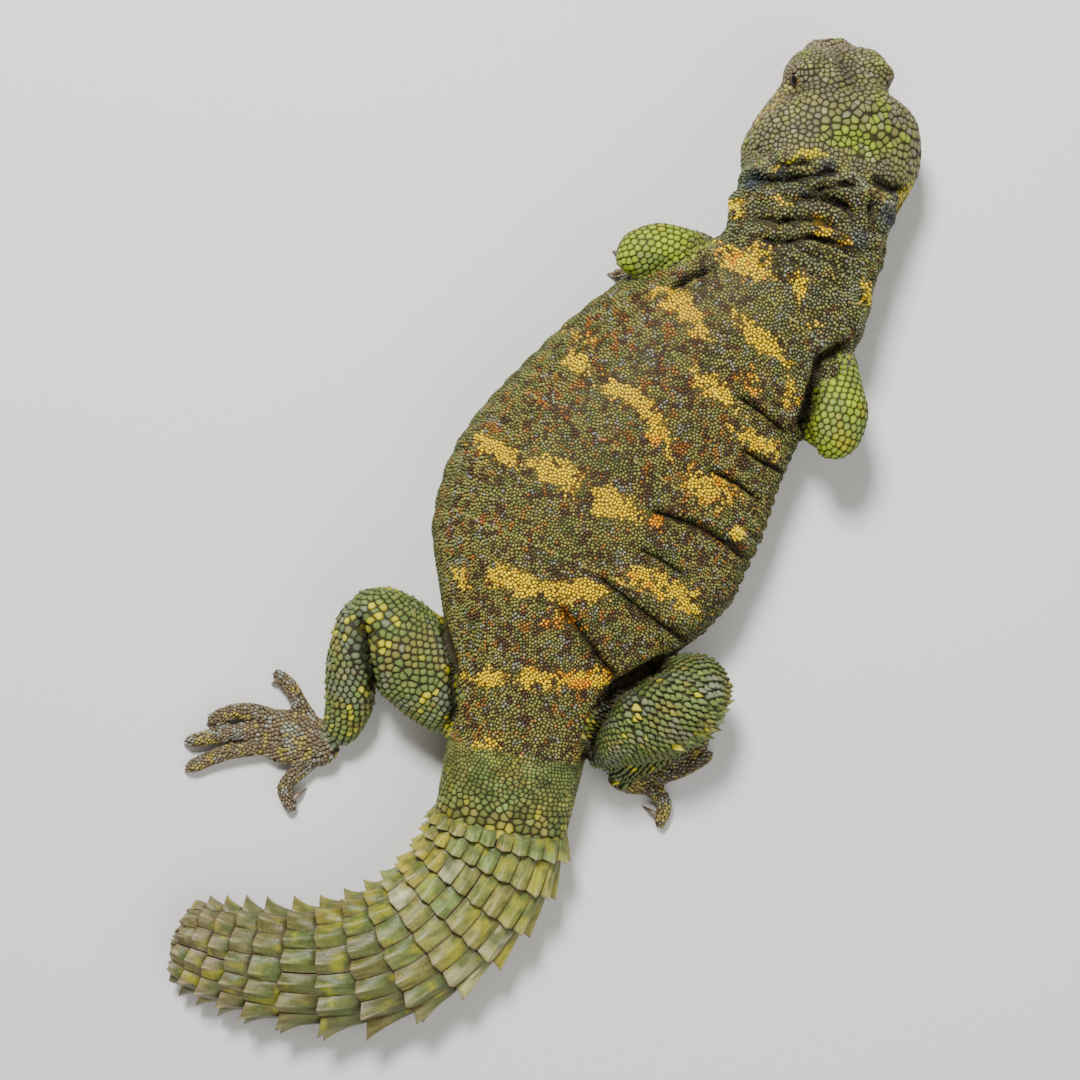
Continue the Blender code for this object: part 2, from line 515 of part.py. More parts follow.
def mouth_cutter():
    """A thin ribbon round the muzzle that leaves the line of the mouth in the head."""
    line = natural_spline([p[0] for p in MOUTH_LINE], [[p[1]] for p in MOUTH_LINE])
    along = np.linspace(MOUTH_LINE[0][0], MOUTH_LINE[-1][0], 12)
    path = [(t, 1) for t in along[::-1]] + [(t, -1) for t in along]
    rings = []
    for t, hand in path:
        height = float(line(np.array([t]))[0, 0])
        width, rise, drop = BODY_FORM.sizes(np.array([t]))[0, :3]
        power = np.interp(t, SQUARE_AT, SQUARE_TOP if height > 0 else SQUARE_BOTTOM)
        share = min(abs(height) / (rise if height > 0 else drop), 1.0)
        edge = width * (1 - share ** power) ** (1 / power)
        corners = []
        for reach, level in ((2.5, -1), (2.5, 1), (-MOUTH_DEPTH, 1), (-MOUTH_DEPTH, -1)):
            sideways = hand * max(edge + reach, 0.4)
            point, _, _, tangent = BODY_FORM.inside((t, sideways, height + level * MOUTH_OPEN / 2))
            ahead = 2.5 if reach > 0 and t < 2.0 else 0.0
            corners.append(point - tangent * ahead)
        rings.append(np.array(corners))
    return outward(mesh_object("mouth_cutter", *closed_rings(rings)))


def facing(place, hand, deep):
    """A point under the head's skin on one side of it, and the ways ahead, outward and up there."""
    t, turn = place[0], place[1] if hand > 0 else 180 - place[1]
    point, skin = (BODY_FORM.at(t, turn, lift)[0] for lift in (-deep, 0.0))
    outer = (skin - point) / np.linalg.norm(skin - point)
    ahead = BODY_FORM.at(t - 1, turn)[0] - BODY_FORM.at(t + 1, turn)[0]
    ahead -= outer * (ahead @ outer)
    ahead /= np.linalg.norm(ahead)
    return point, (ahead, outer, np.cross(ahead, outer))


def make_head():
    """The head, with eye sockets, ears, nostrils and the line of the mouth let into it, and the eyes."""
    head = form_piece("head", BODY_FORM, HEAD_RINGS + [HEAD_END - GAP / 2], HEAD_ROUND)
    cutters, eyes = [mouth_cutter()], []
    for name, hand in (("right", 1), ("left", -1)):
        point, axes = facing(EYE, hand, EYE_DEEP)
        eyes.append(ellipsoid("eye_" + name, point, axes, EYE_HALF, 7, 12))
        cutters.append(ellipsoid("socket", point, axes, [size + GAP for size in EYE_HALF], 7, 12))
        for place, half in ((EAR, EAR_HALF), (NOSTRIL, NOSTRIL_HALF)):
            cutters.append(ellipsoid("opening", *facing(place, hand, 0.05), half, 6, 10))
    carved(head, cutters)
    return [head] + eyes


def make_toe(plan, slim, rings):
    """One toe from its plan points, bent over its joints, and its hooked claw."""
    *joints, claw_tip = plan
    stations = [(x, y, z, r * slim, r * slim) for (x, y), z, r in zip(joints, TOE_HEIGHTS, TOE_THICK)]
    x, y, z, r, _ = stations[-1]
    heading = np.subtract(joints[-1], joints[-2])
    heading = heading / np.linalg.norm(heading)
    end = (x + heading[0] * r * 0.9, y + heading[1] * r * 0.9, z - 0.2, r * 0.35, r * 0.35)
    form = Form(stations + [end])
    toe = form_piece("toe", form, np.linspace(0, form.length, rings), 6)
    root = np.array([x, y, z + 0.3])
    tip = np.array([*claw_tip, 0.25])
    knuckle = root * 0.45 + tip * 0.55 + np.array([0, 0, 0.75])
    thick = CLAW_THICK * slim
    claw_form = Form([(*root, thick, thick), (*knuckle, thick * 0.72, thick * 0.72), (*tip, 0.15, 0.15)])
    return toe, form_piece("claw", claw_form, np.linspace(0, claw_form.length, 3), 4)


def make_foot(name, sole, toes, slim=1.0, rings=6):
    """A hand or foot: the flat sole, five toes and their claws in one body."""
    form = Form(sole)
    foot = form_piece(name, form, np.linspace(0, form.length, 7), 10)
    pieces = [piece for points in toes for piece in make_toe(points, slim, rings)]
    return joined(foot, pieces)


def hand_plan(wrist_x, wrist_y, heading, inward):
    """The palm's stations and the plan points of its five fingers."""
    def along(origin, distance, degrees):
        way = math.radians(degrees)
        return origin[0] + distance * math.cos(way), origin[1] + distance * math.sin(way)

    wrist = (wrist_x, wrist_y)
    palm = [(*along(wrist, ahead, heading), *size) for ahead, *size in PALM]
    middle = along(wrist, PALM_MIDDLE, heading)
    fingers = [[along(middle, FINGER_ROOT + ahead, heading + spread * inward)
                for ahead in (0.0, reach * 0.42, reach * 0.72, reach, reach + FINGER_CLAW)]
               for spread, reach in zip(FINGER_SPREAD, FINGER_REACH)]
    return palm, fingers


def make_limb(name, stations, around=10, rings=8, spines=()):
    """One length of a limb, with any spines on it."""
    form = Form(stations)
    limb = form_piece(name, form, np.linspace(0, form.length, rings), around)
    return joined(limb, [cone(form, t, turn) for t, turn in spines]) if spines else limb


def finish(pieces):
    """Gives each node its material and shading."""
    skin = material("skin", (0.13, 0.15, 0.06), 0.6)
    tail_skin = material("tail_scales", (0.2, 0.21, 0.09), 0.5)
    limb_skin = material("limb_scales", (0.15, 0.2, 0.05), 0.55)
    eye = material("eye", (0.02, 0.015, 0.01), 0.08)
    for piece in pieces:
        name = piece.name
        if name.startswith("eye"):
            chosen = eye
        elif name.startswith("tail"):
            chosen = tail_skin
        elif name.rsplit("_", 1)[-1] in ("left", "right"):
            chosen = limb_skin
        else:
            chosen = skin
        piece.data.materials.clear()
        piece.data.materials.append(chosen)
        piece.data.shade_smooth()
        piece.data.set_sharp_from_angle(angle=math.radians(50))


def material(name, colour, roughness):
    made = bpy.data.materials.new(name)
    made.use_nodes = True
    shader = made.node_tree.nodes["Principled BSDF"]
    shader.inputs["Base Color"].default_value = (*colour, 1.0)
    shader.inputs["Roughness"].default_value = roughness
    return made


def main():
    for old in list(bpy.data.objects):
        bpy.data.objects.remove(old)
    head, eye_right, eye_left = make_head()
    pieces = [head, eye_right, eye_left]
    start = HEAD_END
    trunk = {}
    for name, end, rings, around in ALONG_THE_SPINE:
        trunk[name] = form_piece(name, BODY_FORM, spine_stops(start, end, rings), around)
        start = end
    pieces += trunk.values()
    start = TAIL_START
    for i, rings in enumerate(TAIL_RINGS):
        last = i == len(TAIL_RINGS) - 1
        pieces.append(tail_piece(f"tail_{i + 1}", BODY_FORM, start, rings, last))
        start = rings[-1]
    for side, arm, fore, inward in (("left", UPPER_ARM_LEFT, FOREARM_LEFT, -1),
                                    ("right", UPPER_ARM_RIGHT, FOREARM_RIGHT, 1)):
        upper = cleared(make_limb("upper_arm_" + side, arm), trunk["neck"], trunk["chest"])
        forearm = cleared(make_limb("forearm_" + side, fore), upper, trunk["chest"])
        palm, fingers = hand_plan(*HANDS[side], inward)
        hand = make_foot("hand_" + side, palm, fingers, FINGER_SLIM, 5)
        pieces += [upper, forearm, cleared(hand, forearm, trunk["chest"])]
    for side, upper, lower, sole, toes in (("left", THIGH_LEFT, SHIN_LEFT, FOOT_LEFT, TOES_LEFT),
                                           ("right", THIGH_RIGHT, SHIN_RIGHT, FOOT_RIGHT, TOES_RIGHT)):
        thigh = make_limb("thigh_" + side, upper, 14, 8, THIGH_SPINES[side])
        thigh = cleared(thigh, trunk["loins"], trunk["pelvis"])
        shin = make_limb("shin_" + side, lower, 10, 8, SHIN_SPINES[side])
        shin = cleared(shin, thigh, trunk["pelvis"])
        foot = make_foot("foot_" + side, sole, toes)
        pieces += [thigh, shin, cleared(foot, shin, trunk["pelvis"])]
    finish(pieces)


main()
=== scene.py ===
"""An ornate mastigure, a spiny-tailed lizard, life size, resting on a pale floor and seen from above."""
import math

import bpy
import numpy as np
from mathutils.bvhtree import BVHTree
from mathutils.kdtree import KDTree
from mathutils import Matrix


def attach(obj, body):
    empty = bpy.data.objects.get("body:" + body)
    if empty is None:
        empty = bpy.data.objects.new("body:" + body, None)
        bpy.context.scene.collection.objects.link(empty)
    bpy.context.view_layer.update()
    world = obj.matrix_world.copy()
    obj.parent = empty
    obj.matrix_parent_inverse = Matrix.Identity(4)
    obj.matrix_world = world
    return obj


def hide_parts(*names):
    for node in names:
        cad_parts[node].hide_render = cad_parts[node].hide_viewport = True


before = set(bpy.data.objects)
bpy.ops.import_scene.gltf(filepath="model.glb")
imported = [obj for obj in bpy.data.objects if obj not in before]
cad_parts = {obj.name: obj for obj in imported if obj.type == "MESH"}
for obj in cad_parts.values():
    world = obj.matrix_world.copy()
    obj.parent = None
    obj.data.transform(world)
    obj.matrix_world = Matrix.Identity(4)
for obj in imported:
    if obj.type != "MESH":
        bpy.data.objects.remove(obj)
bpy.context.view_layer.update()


# The skin of the whole animal, one sheet from the snout to the tip of the tail and out to the toes.
# It is tight on the skull and hangs in folds on the neck and flanks. Scales stand on it everywhere,
# so it lies a little inside the sections that are listed here. Sizes here are millimetres.
MM = 0.001
MIDDLE = (0.55, 0.69, 0.0)      # middle of the animal in the frame that the stations are given in
SKIN_DEPTH = 0.25
FLOOR_CLEAR = 0.3               # the skin's lowest level, which leaves room for the belly scales
VOXEL = 0.79
FLESH = ["head", "neck", "chest", "belly", "loins", "pelvis",
         "tail_1", "tail_2", "tail_3", "tail_4", "tail_5"]
FLESH += [part + side for side in ("left", "right")
          for part in ("upper_arm_", "forearm_", "hand_", "thigh_", "shin_", "foot_")]

# Spine stations: x, y, centre height, half width, rise above the centre, drop below it, roll in degrees.
HEAD_ROLL = 16.0      # the head is tipped, left cheek up
ROLL_SWING = 0.13     # and its low side swings ahead by this share of the tip
BODY = [
    (69.6, 122.9, 8.6, 1.0, 1.0, 1.0, HEAD_ROLL),      # tip of the snout
    (69.6, 122.5, 8.5, 3.3, 3.0, 2.4, HEAD_ROLL),
    (69.7, 121.4, 8.5, 5.2, 5.1, 3.8, HEAD_ROLL),
    (69.9, 119.2, 8.6, 7.0, 7.6, 4.6, HEAD_ROLL),
    (70.0, 116.4, 8.9, 8.9, 10.2, 5.2, HEAD_ROLL),
    (69.9, 112.6, 9.4, 10.8, 13.0, 5.7, HEAD_ROLL),
    (69.8, 108.6, 10.2, 13.3, 14.9, 6.4, HEAD_ROLL),
    (69.7, 104.8, 11.3, 16.5, 15.9, 7.2, HEAD_ROLL),
    (69.7, 101.0, 12.5, 19.3, 16.2, 8.2, HEAD_ROLL),
    (69.8, 96.6, 14.0, 21.8, 16.1, 9.1, HEAD_ROLL),
    (69.7, 92.6, 15.4, 22.1, 15.7, 9.8, 15.0),         # jaw muscles, the widest
    (68.8, 88.6, 16.8, 21.3, 15.1, 10.5, 13.0),
    (67.2, 83.2, 18.6, 19.6, 14.1, 11.6, 10.0),        # nape
    (65.2, 77.4, 19.6, 18.2, 13.4, 12.8, 6.0),
    (62.9, 70.3, 19.0, 18.4, 13.5, 13.6, 3.0),         # neck
    (58.6, 60.0, 17.4, 21.6, 14.5, 12.2, 0.0),
    (49.8, 50.8, 15.2, 25.6, 16.8, 11.8, 0.0),         # shoulders
    (38.6, 40.4, 13.2, 29.8, 19.8, 12.8, 0.0),
    (29.2, 29.2, 12.2, 33.4, 22.2, 12.8, 0.0),
    (21.0, 17.0, 11.8, 36.6, 23.2, 12.4, 0.0),
    (13.2, 4.9, 11.6, 38.2, 23.4, 12.2, 0.0),          # belly, the widest
    (7.0, -8.0, 11.6, 35.6, 22.6, 12.2, 0.0),
    (2.2, -20.0, 11.6, 29.0, 21.0, 12.2, 0.0),
    (-1.6, -30.4, 11.8, 22.2, 18.8, 12.4, 0.0),
    (-3.7, -39.5, 12.0, 18.4, 17.0, 12.6, 0.0),        # hips
    (-5.4, -48.7, 11.6, 17.3, 15.6, 12.0, 0.0),
    (-7.2, -57.5, 10.8, 16.8, 14.2, 11.0, 0.0),        # vent
    (-9.0, -66.0, 10.0, 16.4, 12.8, 10.4, 0.0),
    (-10.8, -73.5, 9.4, 16.2, 11.6, 9.8, 0.0),         # root of the tail
    (-14.0, -80.6, 9.0, 16.2, 11.0, 9.4, 0.0),
    (-18.9, -87.5, 8.6, 16.0, 10.6, 9.0, 0.0),
    (-25.4, -94.2, 8.3, 15.8, 10.2, 8.7, 0.0),
    (-33.9, -100.0, 8.0, 15.4, 9.8, 8.4, 0.0),
    (-45.0, -103.8, 7.6, 14.6, 9.2, 8.0, 0.0),
    (-56.0, -104.9, 7.2, 13.4, 8.4, 7.5, 0.0),
    (-66.0, -104.2, 6.6, 12.3, 7.6, 6.9, 0.0),
    (-75.0, -102.6, 6.0, 11.4, 6.8, 6.3, 0.0),
    (-82.0, -100.8, 5.4, 10.4, 5.9, 5.7, 0.0),
    (-86.6, -99.4, 4.9, 9.0, 4.8, 5.0, 0.0),
    (-88.9, -98.7, 4.4, 6.2, 3.2, 3.4, 0.0),
    (-89.8, -98.4, 4.2, 1.2, 1.2, 1.2, 0.0),           # tip of the tail
]
# How square the sections are above and below their widest line: 2 is an ellipse, more is boxier.
SQUARE_AT = [0.0, 44.0, 68.0, 82.0, 105.0, 185.0, 215.0, 310.0]
SQUARE_TOP = [2.3, 2.3, 2.1, 2.05, 2.05, 2.1, 2.5, 2.5]
SQUARE_BOTTOM = [2.3, 2.4, 2.2, 2.2, 3.0, 3.2, 3.0, 3.0]
SQUARE = (SQUARE_AT, SQUARE_TOP, SQUARE_BOTTOM)
HEAD_END = 43.0
TAIL_START = 199.2

# Limbs: x, y, height of the centre, half width, half height.
LIMBS = {
    "upper_arm_left": [
        (44.3, 67.0, 17.5, 4.0, 4.4), (38.3, 69.3, 19.0, 4.5, 4.6), (33.5, 70.2, 20.2, 5.0, 5.0),
        (27.6, 70.0, 21.0, 5.9, 5.3), (23.5, 68.5, 21.0, 5.9, 5.2), (20.1, 67.2, 20.6, 3.9, 3.8),
        (18.5, 66.7, 20.4, 1.0, 1.0),
    ],
    "forearm_left": [
        (23.8, 68.2, 18.5, 3.6, 3.6), (25.4, 67.4, 15.5, 4.4, 4.4), (28.6, 66.0, 11.5, 3.7, 3.9),
        (31.4, 64.8, 8.0, 2.9, 3.0), (33.6, 63.8, 5.4, 2.6, 2.6), (34.6, 63.3, 4.2, 1.4, 1.4),
    ],
    "upper_arm_right": [
        (69.5, 47.5, 17.0, 3.8, 4.2), (72.6, 41.0, 18.6, 4.0, 4.4), (72.4, 36.2, 20.4, 5.3, 5.0),
        (71.8, 30.5, 21.6, 6.9, 5.5), (70.6, 25.6, 21.4, 6.6, 5.3), (68.8, 21.8, 20.9, 4.3, 4.0),
        (67.7, 20.2, 20.6, 1.0, 1.0),
    ],
    "forearm_right": [
        (69.6, 25.8, 18.5, 3.6, 3.6), (68.6, 26.2, 15.5, 4.4, 4.4), (67.0, 27.0, 11.5, 3.7, 3.9),
        (65.4, 27.8, 8.0, 2.9, 3.0), (64.2, 28.4, 5.4, 2.6, 2.6), (63.8, 28.6, 4.2, 1.4, 1.4),
    ],
    "thigh_left": [
        (-15.0, -38.8, 13.5, 10.0, 8.0), (-22.6, -35.4, 14.0, 11.6, 8.8), (-30.2, -28.9, 14.6, 11.8, 8.8),
        (-36.0, -22.9, 15.0, 11.0, 8.2), (-39.6, -18.2, 15.2, 8.8, 6.8), (-42.2, -14.9, 15.0, 5.6, 4.6),
        (-43.8, -12.8, 14.8, 1.0, 1.0),
    ],
    "shin_left": [
        (-42.4, -16.0, 13.5, 3.4, 3.4), (-44.2, -19.0, 14.0, 4.6, 4.8), (-45.6, -24.5, 13.6, 5.1, 5.2),
        (-46.6, -31.0, 12.0, 5.6, 5.4), (-46.4, -37.5, 9.8, 6.1, 5.4), (-47.8, -43.2, 7.6, 5.4, 4.6),
        (-50.2, -47.4, 5.6, 4.3, 3.6), (-51.8, -49.2, 4.6, 2.2, 2.0),
    ],
    "thigh_right": [
        (10.5, -45.6, 14.5, 10.0, 8.2), (19.3, -43.5, 15.8, 11.3, 9.0), (26.6, -41.5, 17.0, 11.6, 9.0),
        (33.3, -38.9, 17.8, 11.0, 8.4), (38.6, -36.4, 17.8, 9.6, 7.4), (41.8, -35.2, 17.4, 7.4, 5.8),
        (44.2, -34.6, 17.0, 4.2, 3.4), (45.2, -34.3, 16.8, 1.0, 1.0),
    ],
    "shin_right": [
        (42.0, -36.2, 12.5, 2.4, 2.4), (40.4, -38.6, 11.2, 5.2, 4.8), (36.6, -43.0, 9.6, 5.7, 5.3),
        (31.0, -48.0, 8.6, 5.7, 5.2), (25.0, -52.4, 7.6, 5.2, 4.8), (19.8, -55.6, 6.6, 4.2, 4.0),
        (17.4, -57.0, 6.0, 2.2, 2.2),
    ],
    "foot_left": [
        (-50.6, -49.8, 5.4, 3.4, 2.8), (-54.0, -50.2, 4.3, 5.8, 3.4), (-60.0, -49.2, 3.4, 7.0, 3.0),
        (-65.0, -48.5, 2.8, 6.8, 2.4), (-68.8, -48.2, 2.4, 5.2, 1.9), (-70.2, -48.2, 2.2, 2.0, 1.0),
    ],
    "foot_right": [
        (17.6, -57.0, 5.0, 3.0, 2.6), (20.4, -57.6, 4.2, 4.6, 3.2), (24.2, -58.2, 3.2, 5.2, 2.7),
        (27.8, -58.4, 2.6, 4.8, 2.2), (30.2, -58.2, 2.3, 3.4, 1.8), (31.2, -58.1, 2.2, 1.2, 0.9),
    ],
}
# Toes of the hind feet, inner to outer, on the floor plan: root, two joints, end of the flesh, claw tip.
TOES = {
    "foot_left": [
        [(-57.4, -44.6), (-60.3, -39.4), (-62.4, -36.0), (-64.2, -34.4), (-67.0, -36.0)],
        [(-64.0, -45.4), (-70.4, -42.6), (-76.0, -42.6), (-80.2, -44.0), (-83.2, -46.0)],
        [(-66.0, -47.0), (-74.0, -47.4), (-80.6, -48.5), (-85.8, -49.8), (-88.8, -51.2)],
        [(-65.5, -50.8), (-74.0, -52.0), (-80.8, -53.8), (-85.8, -56.0), (-88.6, -58.0)],
        [(-54.6, -52.6), (-60.2, -57.8), (-63.4, -62.0), (-62.4, -65.2), (-58.2, -61.8)],
    ],
    "foot_right": [
        [(23.4, -55.6), (26.0, -52.6), (27.8, -51.0), (29.6, -49.6), (32.2, -47.6)],
        [(25.6, -56.0), (29.6, -53.2), (32.4, -51.6), (35.2, -50.4), (38.3, -49.2)],
        [(27.0, -57.0), (32.2, -54.9), (36.0, -53.0), (39.6, -50.9), (42.4, -49.4)],
        [(27.4, -58.8), (32.4, -58.0), (36.6, -56.4), (40.4, -54.4), (43.2, -53.0)],
        [(24.0, -60.4), (28.2, -62.2), (30.8, -65.6), (30.2, -69.0), (25.6, -66.4)],
    ],
}
TOE_HEIGHTS = [2.5, 3.0, 2.5, 2.1]
TOE_THICK = [2.3, 2.05, 2.0, 1.85]
TOE_END = [(0.8, 0.86), (1.35, 0.45)]     # rounding of the tip: how far on, how thick, as shares of the toe
# Hands: the wrist, the way the middle finger points in degrees, and which way the fingers fan.
HANDS = {"hand_left": ((34.8, 63.2), 152.0, -1), "hand_right": ((63.8, 28.5), 58.0, 1)}
PALM = [(0.0, 4.6, 2.4, 2.2), (2.2, 3.9, 4.0, 2.8), (5.2, 3.1, 4.8, 2.5), (7.8, 2.6, 3.8, 2.0),
        (9.2, 2.3, 1.4, 1.0)]       # distance ahead, height, half width, half height
PALM_MIDDLE = 4.0
FINGER_SPREAD = [48.0, 23.0, 0.0, -23.0, -48.0]
FINGER_REACH = [6.6, 8.8, 9.6, 9.2, 7.6]
FINGER_ROOT = 2.2
FINGER_SLIM = 0.82
FINGER_CLAW = 3.2

# Features of the head: distance from the snout and turn round the section.
EYE = (16.2, 35.0)
EYE_DEEP = 2.2
EAR = (38.6, 20.0)
NOSTRIL = (4.2, 32.0)
MOUTH_LINE = [(1.2, -1.0), (4.0, -0.2), (8.0, 0.3), (12.0, 0.5), (16.0, 0.3), (20.0, 0.0), (23.5, 1.0)]

# Creases seen from above: half width, depth, and the places on the plan that they pass.
CREASES = [
    (0.7, 0.9, [(53.3, 88.0), (57.3, 87.2), (61.5, 87.5), (63.8, 88.7)]),                       # nape
    (0.9, 1.3, [(47.9, 86.0), (53.0, 83.7), (57.1, 83.9), (61.4, 84.2), (66.4, 85.2), (70.5, 86.0)]),
    (1.0, 1.6, [(58.0, 78.6), (62.6, 79.7), (66.3, 79.3), (69.7, 78.2), (74.5, 75.0)]),
    (0.7, 1.0, [(66.5, 82.0), (71.3, 82.6), (75.4, 82.2)]),
    (1.0, 1.6, [(76.5, 84.5), (79.5, 83.8), (82.9, 82.7), (87.6, 83.2)]),
    (1.2, 1.4, [(90.1, 82.7), (87.0, 79.3), (84.8, 75.2)]),
    (0.7, 0.9, [(62.5, 80.9), (66.0, 81.8), (70.2, 81.2)]),
    (0.8, 1.0, [(77.6, 81.2), (77.4, 77.0), (77.8, 72.0)]),
    (0.8, 1.0, [(48.5, 75.5), (55.0, 73.8), (62.0, 74.4), (69.0, 72.0)]),                       # neck
    (0.7, 0.8, [(50.5, 70.0), (57.0, 69.0), (63.0, 70.2), (70.0, 68.4), (76.0, 66.0)]),
    (0.8, 1.3, [(3.0, -15.2), (9.5, -22.9), (13.3, -28.5), (16.5, -32.0), (17.8, -34.8)]),      # right groin
    (0.7, 1.0, [(12.5, -8.8), (19.3, -14.0), (26.1, -19.3), (35.2, -25.4)]),
    (1.6, 3.0, [(30.5, -29.0), (22.9, -33.2), (18.1, -36.0), (16.2, -38.2), (14.5, -41.4), (12.8, -45.3),
                (11.9, -49.2), (11.0, -55.7)]),
    (0.6, 0.9, [(38.0, 16.4), (46.9, 12.1), (52.2, 8.4)]),                                      # right flank
    (0.8, 1.3, [(24.5, 6.4), (34.4, 3.3), (38.2, 1.7), (43.3, -1.4), (49.6, -6.0)]),
    (0.6, 0.8, [(21.5, -2.2), (28.5, -5.8), (35.0, -10.0)]),
    (0.7, 1.0, [(46.0, 21.4), (52.7, 17.6), (58.3, 15.6)]),
    (0.6, 0.9, [(45.0, 33.6), (52.5, 28.8), (59.7, 23.8)]),
    (1.2, 2.2, [(73.6, 46.6), (65.7, 41.9), (64.4, 35.7), (63.3, 30.9), (62.0, 25.5)]),         # right arm
    (0.8, 1.2, [(41.0, 63.6), (35.5, 61.6), (29.5, 58.0)]),                                     # left arm
    (0.9, 2.2, [(-24.3, -20.0), (-22.1, -26.4), (-21.1, -30.1), (-21.3, -36.0), (-21.1, -41.9),
                (-22.7, -46.4)]),                                                               # left thigh
    (1.1, 4.0, [(-44.0, -18.0), (-42.0, -28.2), (-41.2, -33.2), (-40.0, -40.0)]),               # left knee
    (0.5, 0.8, [(-40.5, -21.0), (-40.5, -26.0)]),
]
CREASE_WIDER = 1.15   # each is cut this many times as wide as listed,
CREASE_DEEPER = 0.7   # and this much deeper
CREASE_FADE = 3.0     # length over which a crease runs out at each end
LIP_AT = 2.4          # its raised lip: distance from the crease and half width, in half widths of it
LIP_WIDE = 1.1
LIP_HIGH = 0.3        # and height, as a share of its depth
CREASE_FACING = 2.5   # how fast creases come in where the skin turns to face up
TINY = 1e-9           # keeps a vector of no length from dividing by nothing


def lengths_along(points):
    """The distance from the first point to each one, along the line through them."""
    return np.concatenate([[0], np.cumsum(np.linalg.norm(np.diff(points, axis=0), axis=1))])


def unit_rows(vectors, least=0.0):
    """Every row brought to a length of 1."""
    return vectors / (np.linalg.norm(vectors, axis=1)[:, None] + least)


def signed_turn(turn):
    """The same turn from -90 to 270: the right side near 0, the top 90, the left side near 180."""
    return (turn + 90) % 360 - 90


def swell(t, turn, at_t, at_turn, long, wide):
    """A soft oval patch: 1 in its middle, falling to 0 around it."""
    return np.exp(-((t - at_t) / long) ** 2 - ((turn - at_turn) / wide) ** 2)


def tree_of(points):
    """A tree that finds the nearest of some points, by their numbers."""
    tree = KDTree(len(points))
    for i, point in enumerate(points):
        tree.insert(point, i)
    tree.balance()
    return tree


def natural_spline(keys, rows):
    """A smooth function through rows given at rising keys."""
    keys, rows = np.array(keys, float), np.array(rows, float)
    count, step = len(keys), np.diff(keys)
    matrix, right = np.eye(count), np.zeros_like(rows)
    for i in range(1, count - 1):
        matrix[i, i - 1:i + 2] = step[i - 1], 2 * (step[i - 1] + step[i]), step[i]
        right[i] = 6 * ((rows[i + 1] - rows[i]) / step[i] - (rows[i] - rows[i - 1]) / step[i - 1])
    bend = np.linalg.solve(matrix, right)

    def at(where):
        where = np.clip(where, keys[0], keys[-1])
        i = np.clip(np.searchsorted(keys, where, side="right") - 1, 0, count - 2)
        h = step[i][:, None]
        a, b = (keys[i + 1] - where)[:, None] / h, (where - keys[i])[:, None] / h
        straight = a * rows[i] + b * rows[i + 1]
        return straight + ((a ** 3 - a) * bend[i] + (b ** 3 - b) * bend[i + 1]) * h * h / 6

    return at


def even_curve(keys, rows):
    """A smooth function through rows that never swings past them."""
    keys, rows = np.array(keys, float), np.array(rows, float)
    step = np.diff(keys)[:, None]
    slope = np.diff(rows, axis=0) / step
    both = slope[:-1] + slope[1:]
    inner = np.where(slope[:-1] * slope[1:] > 0, 2 * slope[:-1] * slope[1:] / np.where(both == 0, 1, both), 0)
    tangent = np.vstack([slope[:1], inner, slope[-1:]])

    def at(where):
        where = np.clip(where, keys[0], keys[-1])
        i = np.clip(np.searchsorted(keys, where, side="right") - 1, 0, len(keys) - 2)
        h = step[i]
        u = (where - keys[i])[:, None] / h
        return ((2 * u ** 3 - 3 * u ** 2 + 1) * rows[i] + (u ** 3 - 2 * u ** 2 + u) * h * tangent[i]
                + (3 * u ** 2 - 2 * u ** 3) * rows[i + 1] + (u ** 3 - u ** 2) * h * tangent[i + 1])

    return at


